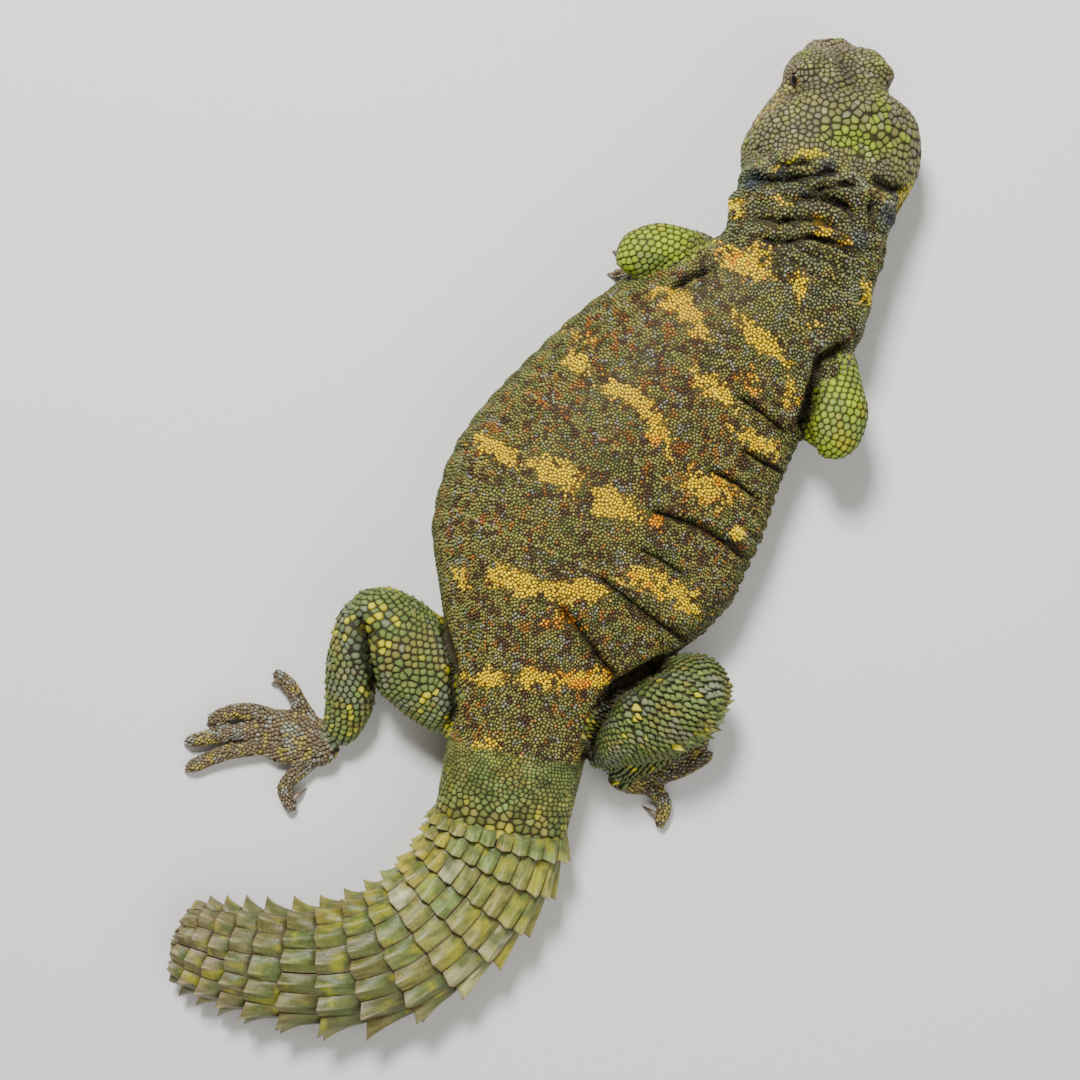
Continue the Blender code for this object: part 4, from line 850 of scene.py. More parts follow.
sample_form(body, head_colour, 0, HEAD_END)
sample_form(body, nape_colour, HEAD_END, TAIL_START)
sample_form(body, tail_colour, TAIL_START, body.length)
for name, form in limbs.items():
    sample_form(form, LIMB_COLOURS[name.rsplit("_", 1)[0]], 0, form.length)
for some in toes.values():
    for form in some:
        sample_form(form, foot_colour, 0, form.length)
sample_places, sample_colours = np.vstack(sample_places), np.vstack(sample_colours)
colour_tree = tree_of(sample_places)
nearest = [colour_tree.find(place)[1] for place in skin_points]
skin_colours = sample_colours[nearest] * SEAM_SHADE + SEAM_BROWN * 0.5
# Painted shade inside the ear openings and nostrils: the skin there darkens to near black.
for at_t, at_turn, size in ((*EAR, 1.6), (*NOSTRIL, 1.1)):
    for turn in (at_turn, 180 - at_turn):
        hole = np.linalg.norm(skin_points - body.at(at_t, turn), axis=1)
        skin_colours = blend(skin_colours, SEAM_BROWN * 0.3, ramp(hole, size, size * 0.6))
paint(skin.data, skin_colours)
skin_finish = coloured_material("skin_between_scales", 0.6, 0.5, 0.12, 0.2)
skin.data.materials.append(skin_finish)
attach(skin, "root")
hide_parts(*FLESH)


# The small scales of the body: grains on the back and nape, plates on the crown, flat tiles below,
# and lapping scales on the legs. Each is a low dome with its rim sunk in the skin, and they crowd
# together, so that every outline is a polygon set by its neighbours.
RIM_SUNK = (0.2, 0.06, 0.2)     # depth of the rim: share of the half width, least and most
SEAM = 0.04                     # share of a scale's half width left bare as its seam
LIMB_ABOVE = 1.3                # a root on a limb is looked for from this far above the skin
BODY_ABOVE = 2.8                # and one on the body, whose folds are deeper
NUDGE = 0.1                     # step along a form that its steepness is read over
STEEPEST = 6.0                  # rows close up by this much at most where a form rounds off
IN_CREASE = 0.04                # how close to a crease a root looks deeper for the skin
LOOKS_DEEPER = 3.2              # how far below its form it looks there,
LOOKS = 1.0                     # and elsewhere
FACES_OUT = 0.08                # skin that turns further away than this carries no scale
NEIGHBOURS = 8                  # that a scale shares the room with
BAKE_SPOT = 0.0015              # size of one scale on the map for baking
# Profiles of a scale, from the rim to near the middle: size, level, tone. The middle itself comes last.
# The tone is painted light and shade: dark at the sunk rim as painted shade in the seams, and bright towards
# the middle as a painted highlight on the dome.
GRAIN = [(1.0, 0.0, 0.04), (0.74, 0.72, 0.82)], (1.0, 1.08)
PLATE = [(1.0, 0.0, 0.10), (0.86, 0.72, 0.62), (0.5, 1.0, 1.1)], (1.05, 1.25)
TILE = [(1.0, 0.0, 0.18), (0.82, 0.85, 0.95)], (1.05, 1.2)


def rows_of(form, start, end, spacing, first=0.0, last=360.0, jitter=0.1, pitch=0.88):
    """Staggered rows of places on a form, as distance, turn and room for each."""
    found, t, row = [], start, 0
    fine = np.linspace(first, last, 241)
    while t < end:
        ring = form.at(np.full(len(fine), t), fine)
        arc = lengths_along(ring)
        room = spacing(np.full(len(fine), t), fine)
        count = np.concatenate([[0], np.cumsum(np.diff(arc) * 2 / (room[1:] + room[:-1]))])
        turns = np.interp(np.arange(0.5 * (row % 2), count[-1], 1.0), count, fine)
        gaps = np.interp(turns, fine, room)
        per_degree = arc[-1] / (last - first)
        turns = turns + rng.normal(0, jitter, len(turns)) * gaps / max(per_degree, 0.02)
        ts = t + rng.normal(0, jitter, len(turns)) * gaps
        found.append(np.column_stack([ts, turns, gaps]))
        beside = form.at(np.full(len(fine), t + NUDGE if t < 2 * NUDGE else t - NUDGE), fine)
        steep = np.median(np.linalg.norm(beside - ring, axis=1)) / NUDGE
        t += pitch * np.average(room, weights=np.gradient(arc) + 1e-6) / np.clip(steep, 1, STEEPEST)
        row += 1
    return np.vstack(found)


class Coat:
    """Roots of one piece's scales, gathered from the forms that it covers."""

    def __init__(self):
        self.rows = []

    def add(self, form, rows, colour_of, patch, slant=0.0, above=LIMB_ABOVE):
        """Sets rows of roots on the skin. patch is the corner and the size of their bake area."""
        t, turn, gap = rows.T
        keep = (t > 0) & (t < form.length)
        t, turn, gap = t[keep], turn[keep], gap[keep]
        places, normals, lie = form.frame_at(t, turn, -SKIN_DEPTH)
        chance = rng.random(len(t))
        colours = colour_of(places, t, turn, chance)
        reach = above + np.where(crease_at(places, normals[:, 2])[1] > IN_CREASE, LOOKS_DEEPER, LOOKS)
        u0, v0, width, height = patch
        uv = np.column_stack([u0 + width * t / form.length, v0 + height * (turn % 360) / 360])
        lie = lie * math.cos(slant) + np.cross(normals, lie) * math.sin(slant)
        for i in range(len(t)):
            start = (places[i] + normals[i] * above).tolist()
            spot, face_normal, _, _ = skin_surface.ray_cast(start, (-normals[i]).tolist(), reach[i])
            if spot is None or face_normal.dot(normals[i]) < FACES_OUT:
                continue
            normal = skin_normals[skin_tree.find(spot)[1]] * 0.7 + normals[i] * 0.3
            normal /= np.linalg.norm(normal)
            way = lie[i] - normal * (lie[i] @ normal)
            way /= np.linalg.norm(way)
            self.rows.append((np.array(spot), normal, way, gap[i], colours[i], chance[i], uv[i],
                              t[i], turn[i]))

    def thin(self, share):
        """Drops any root that is too close to one laid before it."""
        tree = tree_of([row[0] for row in self.rows])
        dropped = set()
        for i, row in enumerate(self.rows):
            if i in dropped:
                continue
            for _, j, _ in tree.find_range(row[0], share * row[3]):
                if j > i:
                    dropped.add(j)
        self.rows = [row for i, row in enumerate(self.rows) if i not in dropped]

    def columns(self):
        return [np.array(column) for column in zip(*self.rows)]


def bake_places(mesh, places):
    """Lays out the map for baking: places has a spot on it for every vertex."""
    bake = mesh.uv_layers.new(name="OFBake")
    corners = columns_of(mesh.loops, "vertex_index", 1)[:, 0].astype(int)
    bake.data.foreach_set("uv", places[corners].ravel())


def scale_mesh(name, coat, height, profile, tilt=0.0, overlap=0.0, point=0.0, keel=0.0, sides=8, reach=0.78,
               apart=0.58):
    """Joined mesh of one coat's scales; height, tilt and keel are shares of a scale's half width."""
    coat.thin(apart)
    places, normals, lie, gap, colours, chance, uv, t, turn = coat.columns()
    count = len(places)
    tree = tree_of(places)
    around = np.array([[j for _, j, _ in tree.find_n(place, NEIGHBOURS + 1)][1:] for place in places])
    across = np.cross(normals, lie)
    delta = places[around] - places[:, None]
    x, y = (delta * lie[:, None]).sum(axis=2), (delta * across[:, None]).sum(axis=2)
    far, way = np.hypot(x, y) + 1e-6, np.arctan2(y, x)
    angles = 2 * np.pi * (np.arange(sides) + 0.5) / sides
    cosine = np.cos(angles[None, :, None] - way[:, None, :])
    half_way = np.where(cosine > 0.12, far[:, None, :] / 2 / np.maximum(cosine, 0.12), 1e3).min(axis=2)
    radius = np.minimum(half_way, gap[:, None] * reach) * (1 - SEAM)
    half = radius.mean(axis=1)[:, None]
    top = height * (0.8 + 0.4 * chance[:, None]) * half
    sunk = np.clip(half * RIM_SUNK[0], RIM_SUNK[1], RIM_SUNK[2])
    # Painted shade: scales are darkened close to a crease, where shade falls.
    shade = 1 - 0.9 * crease_at(places, normals[:, 2])[1] ** 0.6
    # Each ring's tone is painted shade at the rim and painted light towards the middle.
    rings, (middle_level, middle_painted_light) = profile
    points, tones = [], []
    for size, level, tone in rings:
        ahead = radius * size * np.cos(angles)
        sideways = radius * size * np.sin(angles)
        front = np.clip(ahead / half, 0, 1.5)
        ahead = ahead * (1 + overlap * (front > 0))
        sideways = sideways * (1 - point * np.minimum(front, 1) ** 1.5)
        if level:
            ridge = keel * half * np.exp(-(sideways / (0.3 * half)) ** 2) * (0.4 + 0.6 * front)
            rise = top * level + ahead * tilt + ridge
        else:
            rise = ahead * tilt * 0.5 - sunk
        points.append(places[:, None] + lie[:, None] * ahead[..., None]
                      + across[:, None] * sideways[..., None] + normals[:, None] * rise[..., None])
        tones.append(np.full((count, sides), tone))
    middle = lie * (0.25 * overlap * half) + normals * (top * middle_level + keel * half * 0.6)
    points.append((places + middle)[:, None])
    tones.append(np.full((count, 1), middle_painted_light))
    points, tones = np.concatenate(points, axis=1), np.concatenate(tones, axis=1) * shade[:, None]
    points[..., 2] = np.maximum(points[..., 2], 0.0)
    each, levels = points.shape[1], len(rings)
    start = (np.arange(count) * each)[:, None, None]
    j = np.arange(sides)
    k = (j + 1) % sides
    faces = []
    for level in range(levels - 1):
        low, high = level * sides, (level + 1) * sides
        wall = start + np.column_stack([low + j, low + k, high + k, high + j])[None]
        faces += wall.reshape(-1, 4).tolist()
    last = (levels - 1) * sides
    cap = start + np.column_stack([last + j, last + k, np.full(sides, levels * sides)])[None]
    faces += cap.reshape(-1, 3).tolist()
    made = mesh_object(name, points.reshape(-1, 3), faces)
    paint(made.data, (colours[:, None] * tones[..., None]).reshape(-1, 3))
    circle = np.stack([np.cos(angles), np.sin(angles)], axis=1)
    ring_uv = np.concatenate([circle * size for size, _, _ in rings] + [[[0.0, 0.0]]])
    bake_places(made.data, (uv[:, None] + BAKE_SPOT * ring_uv[None]).reshape(-1, 2))
    made.data.shade_smooth()
    print("scales", name, count, "triangles", count * sides * (2 * levels - 1))
    return made


def dress(made, material):
    """Gives a coat piece its material, and ties it to the body."""
    made.data.materials.append(material)
    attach(made, "root")
    return made


scale_finish = coloured_material("living_scales", 0.46, 0.22, 0.04, 0.16)
WHOLE = (0.01, 0.01, 0.98, 0.98)


def plain_gap(size):
    return lambda t, turn: np.full(len(t), size)


def crown_gap(t, turn):
    """Room for each scale of the head: large plates behind the crown, small ones on snout, lids and nape."""
    away = spread_of(turn)
    gap = 1.25 + 0.30 * swell(t, away, 16, 0, 5, 35)
    gap += 0.70 * swell(t, away, 29, 0, 6, 50)
    gap += 0.45 * swell(t, away, 29, 85, 7, 25)
    gap -= 0.30 * swell(t, away, 12, 62, 4, 18)
    return np.where(t > 36, np.maximum(gap - (t - 36) * 0.12, 0.8), gap)


def off_openings(rows):
    """Leaves the eyes, ears, nostrils and the line of the mouth bare."""
    t, turn, _ = rows.T
    turn = signed_turn(turn)
    mirrored = np.where(turn > 90, 180 - turn, turn)
    wide = spine_sizes(t)[:, 0]
    bare = np.zeros(len(t), bool)
    for (at_t, at_turn), long, tall in ((EYE, 2.4, 1.5), (EAR, 0.6, 1.8), (NOSTRIL, 0.8, 0.8)):
        lift = np.radians(mirrored - at_turn) * wide
        bare |= ((t - at_t) / long) ** 2 + (lift / tall) ** 2 < 1
    bare |= (np.abs(np.radians(mirrored - mouth_turn(t)) * wide) < 0.42) & (t < 24.0)
    return rows[~bare]


head_coat = Coat()
head_rows = off_openings(rows_of(body, 0.4, HEAD_END + 0.4, crown_gap, jitter=0.2))
head_coat.add(body, head_rows, head_colour, WHOLE, above=BODY_ABOVE)
dress(scale_mesh("head_scales", head_coat, 0.34, PLATE, tilt=0.04, sides=12, reach=0.86),
      scale_finish)

BACK_TURNS = (-28, 208)         # how far down both sides the grains reach
# The stretches of grains on the back from the head on: where each ends, and the room for a grain.
BACK_COATS = [("nape_scales", 70.0, 0.74), ("shoulder_scales", 96.0, 0.72),
              ("upper_back_scales", 122.0, 0.72), ("lower_back_scales", 150.0, 0.72),
              ("rump_scales", 197.0, 0.72)]
start = HEAD_END
for name, end, gap in BACK_COATS:
    coat = Coat()
    coat.add(body, rows_of(body, start, end, plain_gap(gap), *BACK_TURNS, 0.12, 0.5), nape_colour, WHOLE,
             above=BODY_ABOVE)
    dress(scale_mesh(name, coat, 0.9, GRAIN, tilt=0.2, sides=6, apart=0.86), scale_finish)
    start = end

belly_coat = Coat()
belly_coat.add(body, rows_of(body, HEAD_END, TAIL_START, plain_gap(1.5), 208, 332, 0.05),
               back_colour, WHOLE)
dress(scale_mesh("belly_scales", belly_coat, 0.16, TILE, tilt=0.04), scale_finish)


def root_gap(t, turn):
    """Room for the squarish scales of the tail's root, which grow towards the first ring of plates."""
    return np.interp(t, [196.0, 206.0, 212.0, 216.0], [0.8, 1.3, 1.9, 2.5])


def root_colour(points, t, turn, chance):
    """The tail's colours, darker and mottled."""
    colour = tail_colour(points, t, turn, chance)
    colour = blend(colour, GREEN * 0.9, 0.6 * ramp(noise(points, 4.0, 67), 0.35, 0.6))
    return colour * (0.3 + 0.95 * noise(points, 1.8, 66))[:, None]


PLATES_START = 216.0
root_coat = Coat()
root_coat.add(body, rows_of(body, 197.0, PLATES_START + 0.4, root_gap, -35, 215, 0.15),
              root_colour, WHOLE)
dress(scale_mesh("tail_root_scales", root_coat, 0.26, PLATE, tilt=0.12, keel=0.08, sides=12, reach=0.82),
      scale_finish)


def arm_gap(t, turn):
    return 1.75 - 0.3 * ramp(spread_of(turn), 60, 130)


def left_thigh_gap(t, turn):
    """Large scales on the middle and the knee of the thigh, fine ones on its front and hind edges."""
    return 1.2 + 1.0 * np.exp(-((spread_of(turn) - 5) / 48) ** 2) * ramp(t, 4, 14)


def right_thigh_gap(t, turn):
    return 1.1 + 0.95 * ramp(t, 4, 18) * np.exp(-(spread_of(turn) / 62) ** 2)


LEG_STYLES = {
    "fore": dict(height=0.17, tilt=0.10, overlap=0.22, point=0.25, keel=0.05),
    "hind_left": dict(height=0.34, tilt=0.18, overlap=0.15, point=0.2, keel=0.12),
    "hind_right": dict(height=0.24, tilt=0.46, overlap=0.75, point=0.75, keel=0.34),
}
# Each piece's style, and its forms with the room for a scale and the slant of its lie in radians.
LEG_ROWS = {
    "foreleg_scales_left": ("fore", (("upper_arm_left", arm_gap, 0.35),
                                     ("forearm_left", plain_gap(1.4), 0.0))),
    "foreleg_scales_right": ("fore", (("upper_arm_right", arm_gap, -0.35),
                                      ("forearm_right", plain_gap(1.4), 0.0))),
    "hindleg_scales_left": ("hind_left", (("thigh_left", left_thigh_gap, 0.7),
                                          ("shin_left", plain_gap(1.7), 0.2))),
    "hindleg_scales_right": ("hind_right", (("thigh_right", right_thigh_gap, -0.8),
                                            ("shin_right", plain_gap(1.5), 0.0))),
}
for name, (style, forms) in LEG_ROWS.items():
    coat = Coat()
    for n, (part, gap, slant) in enumerate(forms):
        form, tint = limbs[part], LIMB_COLOURS[part.rsplit("_", 1)[0]]
        coat.add(form, rows_of(form, 0.5, form.length - 0.3, gap, jitter=0.08), tint,
                 (0.01, 0.01 + 0.5 * n, 0.98, 0.48), slant)
    dress(scale_mesh(name, coat, profile=PLATE, sides=10, reach=0.85, **LEG_STYLES[style]),
          scale_finish)

for name in ("hand_left", "hand_right", "foot_left", "foot_right"):
    coat = Coat()
    for n, form in enumerate([limbs[name], *toes[name]]):
        gap = 1.05 if n == 0 else 0.95
        coat.add(form, rows_of(form, 0.3, form.length - 0.1, plain_gap(gap), jitter=0.14), foot_colour,
                 (0.01, 0.01 + n / 6, 0.98, 0.15))
    dress(scale_mesh(f"{name}_scales", coat, 0.5, TILE, tilt=0.30, overlap=0.25, point=0.3, sides=7),
          scale_finish)


# The plates of the tail: horny scutes in rings, each with a slanting keel drawn out behind into a
# point, which on the sides of the tail is a broad flat spine. Thin brown seams part them.
TAIL_RINGS = [220.2, 226.8, 234.6, 242.6, 250.8, 259.4, 268.4, 277.2, 285.8, 293.6,
              299.6, 304.8, 309.2, 312.6]       # the rear edge of each ring
PLATE_WIDE_AT = [218.2, 235.0, 250.0]
PLATE_WIDE = [4.0, 4.7, 5.7]
PLATE_GROOVE = 0.10             # between neighbours in a ring
PLATE_TURNS = (-20.0, 200.0)
PLATE_SUNK = 0.9
STEP_REAR = 1.1                 # how far the rear edge stands over the next ring
KEEL = 1.15
SPINE_TOP = (0.7, 0.5)          # spine of a plate on the back: how far out, how far behind
SPINE_SIDE = (3.0, 0.9)         # and on the sides of the tail
OUTER_MORE = (1.15, 0.65)       # larger on the outside of the bend than on the inside
SPINE_SHARE_AT = [220.0, 248.0, 262.0, 291.0, 313.0]
SPINE_SHARE = [0.25, 0.4, 0.85, 1.0, 0.45]
PLATE_ACROSS = np.linspace(-1, 1, 15)
PLATE_ALONG = np.array([0.0, 0.08, 0.22, 0.38, 0.54, 0.70, 0.83, 0.93, 1.0])


def even_turns(t, first, last, pieces):
    """Turns that cut a stretch of a section into nearly equal lengths of arc, and the whole length."""
    turns = np.linspace(first, last, 200)
    points = body.at(np.full(len(turns), t), turns)
    arc = lengths_along(points)
    marks = np.linspace(0, arc[-1], pieces + 1)
    marks[1:-1] += rng.uniform(-0.08, 0.08, pieces - 1) * arc[-1] / pieces
    return np.interp(marks, arc, turns), arc[-1]


def plate(front, rear, right, left, dice, seed):
    """One scute: points and faces, and each point's place across, along, from the keel, grain, depth."""
    middle, half = (right + left) / 2, (left - right) / 2
    sideways = abs(math.cos(math.radians(middle))) ** 2.5
    share = float(np.interp(rear, SPINE_SHARE_AT, SPINE_SHARE)) * OUTER_MORE[int(middle > 90)]
    out, behind = (share * (top + (side - top) * sideways) * (0.8 + 0.4 * dice)
                   for top, side in zip(SPINE_TOP, SPINE_SIDE))
    v, u = np.meshgrid(PLATE_ALONG, PLATE_ACROSS, indexing="ij")
    ridge_at = (0.32 * (1 - sideways) * (0.4 + 0.6 * v)) * (1 if middle < 90 else -1)
    from_ridge = u - ridge_at
    tent = 1 - np.abs(from_ridge) / (1 + np.abs(ridge_at) * np.where(from_ridge * ridge_at > 0, -1, 1))
    tent = np.clip(tent, 0, 1)
    lift = STEP_REAR * v ** 0.8 * (1 - 0.45 * np.abs(u) ** 6) + KEEL * tent ** 1.2 * (0.3 + 0.7 * v)
    lift = lift + out * tent ** 1.5 * v ** 3
    spots = np.column_stack([u.ravel() * 4, v.ravel() * 1.6, np.full(u.size, seed)])
    grain = noise(spots, 0.55, 72).reshape(u.shape)
    lift = lift + 0.3 * (grain - 0.5)
    lift[0] = -0.3
    t = front + (rear - front) * v + behind * tent ** 1.4 * v ** 3
    reach = body.length - 0.25
    shell = body.at(np.minimum(t, reach).ravel(), (middle + u * half).ravel(), lift.ravel())
    root = body.at(np.minimum(front + (rear - front) * v * 0.97, reach).ravel(),
                   (middle + u * half * 0.97).ravel(), np.full(u.size, -PLATE_SUNK))
    rows, columns = u.shape
    faces = [(i * columns + j, (i + 1) * columns + j, (i + 1) * columns + j + 1, i * columns + j + 1)
             for i in range(rows - 1) for j in range(columns - 1)]
    size = rows * columns
    rim = [j for j in range(columns)] + [i * columns + columns - 1 for i in range(1, rows)]
    rim += [(rows - 1) * columns + j for j in range(columns - 2, -1, -1)]
    rim += [i * columns for i in range(rows - 2, 0, -1)]
    faces += [(a, b, size + (n + 1) % len(rim), size + n)
              for n, (a, b) in enumerate(zip(rim, rim[1:] + rim[:1]))]
    faces.append(tuple(size + n for n in range(len(rim)))[::-1])
    across, along, keel_side, streak = (np.concatenate([part.ravel(), part.ravel()[rim]])
                                        for part in (u, v, from_ridge, grain))
    depth = np.concatenate([np.zeros(size), np.ones(len(rim))])
    return np.vstack([shell, root[rim]]), faces, across, along, keel_side, streak, depth


plates, plate_tones, plate_uv = [], [], []
for front, rear in zip([PLATES_START] + TAIL_RINGS, TAIL_RINGS):
    middle_t = (front + rear) / 2
    _, arc = even_turns(middle_t, *PLATE_TURNS, 1)
    wide = float(np.interp(rear, PLATE_WIDE_AT, PLATE_WIDE))
    turns, _ = even_turns(middle_t, *PLATE_TURNS, max(round(arc / wide), 6))
    groove = PLATE_GROOVE / 2 * (turns[-1] - turns[0]) / arc
    for a, b in zip(turns, turns[1:]):
        dice = rng.random()
        made = plate(front, rear, a + groove, b - groove, dice, len(plates) * 3.7)
        points, faces, across, along, keel_side, streak, depth = made
        plates.append((points, faces))
        centre = body.at(middle_t, (a + b) / 2)
        base = tail_colour(centre, np.array([middle_t]), np.array([(a + b) / 2]), np.array([dice]))[0]
        # Grain streaks in the plate's tone, and painted shadow over its front, where the raised rear edge of
        # the ring ahead stands over it.
        shade = (0.45 + 1.0 * streak) * (0.4 + 0.6 * ramp(along, 0.0, 0.4))
        tone = plain_colour(points, base) * shade[:, None]
        # Dark green patches over the front half of the plate.
        dark_green_front = 0.85 * ramp(noise(points, 1.8, 73), 0.35, 0.7) * ramp(along, 1.0, 0.5)
        tone = blend(tone, GREEN * 0.6, dark_green_front)
        tone = blend(tone, YELLOW * 0.18 + LIME * 0.55, 0.6 * ramp(noise(points, 2.2, 74), 0.6, 0.85))
        worn = 0.5 * ramp(along, 0.7, 0.95) * ramp(streak, 0.35, 0.7)
        tone = blend(tone, OLIVE * 0.6 + EARTH * 0.5, worn)
        # Painted highlight: a pale cream line along the keel.
        keel_highlight = 0.5 * ramp(np.abs(keel_side), 0.14, 0.0) * ramp(along, 0.3, 0.9)
        tone = blend(tone, CREAM * 0.8, keel_highlight)
        seam = ramp(np.abs(across), 0.84, 1.0) + ramp(along, 0.95, 1.0) + ramp(along, 0.1, 0.0)
        tone = blend(tone, EARTH * 0.62, np.clip(0.75 * seam, 0, 1))
        plate_tones.append(blend(tone, SEAM_BROWN * 1.5, depth))
        spot_u = 0.01 + 0.98 * (middle_t - TAIL_START) / (body.length - TAIL_START)
        spot_v = 0.01 + 0.98 * ((a + b) / 2 - PLATE_TURNS[0]) / (PLATE_TURNS[1] - PLATE_TURNS[0])
        plate_uv.append(np.column_stack([spot_u + BAKE_SPOT * along, spot_v + BAKE_SPOT * across]))
scutes = mesh_object("tail_scutes", *several(plates))
paint(scutes.data, np.vstack(plate_tones))
bake_places(scutes.data, np.vstack(plate_uv))
scutes.data.shade_smooth()
scutes.data.set_sharp_from_angle(angle=math.radians(50))
horn_finish = coloured_material("horny_plates", 0.42, 0.7, 0.10, 0.24)
dress(scutes, horn_finish)

under_coat = Coat()
under_coat.add(body, rows_of(body, PLATES_START, body.length - 0.5, plain_gap(1.9), 198, 342, 0.05),
               tail_colour, WHOLE)
dress(scale_mesh("tail_underside_scales", under_coat, 0.2, TILE, tilt=0.12), scale_finish)

# Small keeled scales close the blunt end of the tail behind the last ring.
tip_coat = Coat()
tip_coat.add(body, rows_of(body, TAIL_RINGS[-1], body.length - 0.05, plain_gap(1.9)), tail_colour, WHOLE)
dress(scale_mesh("tail_tip_scales", tip_coat, 0.5, PLATE, tilt=0.3, overlap=0.3, point=0.5, keel=0.35),
      horn_finish)


# Spines of the hind legs: pointed scales that stand up among the flat ones, along the outer edge of
# the thigh and down the shin. Each is a broad cone that leans towards the foot.
SPINE_SIDES = 10
SPINE_BENDS = 4
SPINE_SUNK = 0.25
SPINE_LEAN = 0.35     # share of its height
LEG_SPINES = {        # form: first and last distance, spacing, turns, half width, height
    "thigh_left": (20.0, 37.0, 2.6, (140, 163, 186), 0.8, 1.2),
    "thigh_right": (20.0, 38.0, 2.5, (152, 172, 192), 1.0, 2.2),
    "shin_left": (2.0, 30.0, 2.8, (132, 158, 182), 0.8, 1.3),
    "shin_right": (2.0, 16.0, 2.8, (-10, 14), 0.9, 1.6),
}


def tree_node(tree, kind, **values):
    """A node of a Geometry Nodes tree with its plain inputs set by name."""
    node = tree.nodes.new(kind)
    for key, value in values.items():
        node.inputs[key].default_value = value
    return node


def spine_tree(material):
    """Sets a cone on every point, turned along the point's way, bent forward and scaled by its size."""
    tree = bpy.data.node_groups.new("leg spines", "GeometryNodeTree")
    tree.interface.new_socket("Geometry", in_out="INPUT", socket_type="NodeSocketGeometry")
    for label in ("Half Width", "Height", "Lean"):
        tree.interface.new_socket(label, in_out="INPUT", socket_type="NodeSocketFloat")
    tree.interface.new_socket("Geometry", in_out="OUTPUT", socket_type="NodeSocketGeometry")
    link = tree.links.new
    source, result = tree.nodes.new("NodeGroupInput"), tree.nodes.new("NodeGroupOutput")
    cone = tree_node(tree, "GeometryNodeMeshCone", **{"Vertices": SPINE_SIDES, "Side Segments": SPINE_BENDS,
                                                     "Radius Top": 0.03 * MM})
    link(source.outputs["Half Width"], cone.inputs["Radius Bottom"])
    link(source.outputs["Height"], cone.inputs["Depth"])
    place, apart = tree.nodes.new("GeometryNodeInputPosition"), tree.nodes.new("ShaderNodeSeparateXYZ")
    share, squared, bent = (tree.nodes.new("ShaderNodeMath") for _ in range(3))
    share.operation, squared.operation, bent.operation = "DIVIDE", "MULTIPLY", "MULTIPLY"
    lean, move = tree.nodes.new("ShaderNodeCombineXYZ"), tree.nodes.new("GeometryNodeSetPosition")
    link(place.outputs["Position"], apart.inputs["Vector"])
    link(apart.outputs["Z"], share.inputs[0])
    link(source.outputs["Height"], share.inputs[1])
    link(share.outputs[0], squared.inputs[0])
    link(share.outputs[0], squared.inputs[1])
    link(squared.outputs[0], bent.inputs[0])
    link(source.outputs["Lean"], bent.inputs[1])
    link(bent.outputs[0], lean.inputs["X"])
    link(cone.outputs["Mesh"], move.inputs["Geometry"])
    link(lean.outputs["Vector"], move.inputs["Offset"])
    marks = {}
    for label, kind in (("stands", "FLOAT_VECTOR"), ("points", "FLOAT_VECTOR"), ("size", "FLOAT")):
        marks[label] = tree_node(tree, "GeometryNodeInputNamedAttribute", Name=label)
        marks[label].data_type = kind
    upright, turned = (tree.nodes.new("FunctionNodeAlignRotationToVector") for _ in range(2))
    upright.axis, turned.axis, turned.pivot_axis = "Z", "X", "Z"
    link(marks["stands"].outputs["Attribute"], upright.inputs["Vector"])
    link(upright.outputs["Rotation"], turned.inputs["Rotation"])
    link(marks["points"].outputs["Attribute"], turned.inputs["Vector"])
    on_points = tree.nodes.new("GeometryNodeInstanceOnPoints")
    real = tree.nodes.new("GeometryNodeRealizeInstances")
    link(source.outputs["Geometry"], on_points.inputs["Points"])
    link(move.outputs["Geometry"], on_points.inputs["Instance"])
    link(turned.outputs["Rotation"], on_points.inputs["Rotation"])
    link(marks["size"].outputs["Attribute"], on_points.inputs["Scale"])
    finish = tree_node(tree, "GeometryNodeSetMaterial", Material=material)
    link(on_points.outputs["Instances"], real.inputs["Geometry"])
    link(real.outputs["Geometry"], finish.inputs["Geometry"])
    link(finish.outputs["Geometry"], result.inputs["Geometry"])
    return tree


grow_spines = spine_tree(horn_finish)
for part, (first, last, step, turns, wide, high) in LEG_SPINES.items():
    form = limbs[part]
    roots = [(t + 0.5 * step * (n % 2), turn + 6 * rng.normal()) for n, turn in enumerate(turns)
             for t in np.arange(first, min(last, form.length - 1.6), step)]
    t, turn = np.array(roots).T
    places, normals, lie = form.frame_at(t, turn, -SKIN_DEPTH)
    kept = []
    for i in range(len(t)):
        spot, face_normal, _, distance = skin_surface.find_nearest(places[i])
        if distance < 0.9 and face_normal.dot(normals[i]) > 0.3:
            kept.append(i)
            places[i] = spot
    spines = mesh_object(f"{part}_spines", places[kept] - normals[kept] * SPINE_SUNK, [])
    for label, kind, values in (("stands", "FLOAT_VECTOR", normals + 0.35 * lie),
                                ("points", "FLOAT_VECTOR", lie),
                                ("size", "FLOAT", 0.7 + 0.5 * rng.random(len(t)))):
        layer = spines.data.attributes.new(label, kind, "POINT")
        layer.data.foreach_set("value" if kind == "FLOAT" else "vector", values[kept].ravel())
    paint(spines.data, thigh_colour(places[kept], t[kept], turn[kept], rng.random(len(kept))) * 1.15)
    growing = spines.modifiers.new("spines", "NODES")
    growing.node_group = grow_spines
    sizes = {"Half Width": wide, "Height": high, "Lean": SPINE_LEAN * high}
    for item in grow_spines.interface.items_tree:
        if item.in_out == "INPUT" and item.socket_type == "NodeSocketFloat":
            growing[item.identifier] = sizes[item.name] * MM
    plain_mesh(spines)
    spines.data.shade_smooth()
    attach(spines, "root")


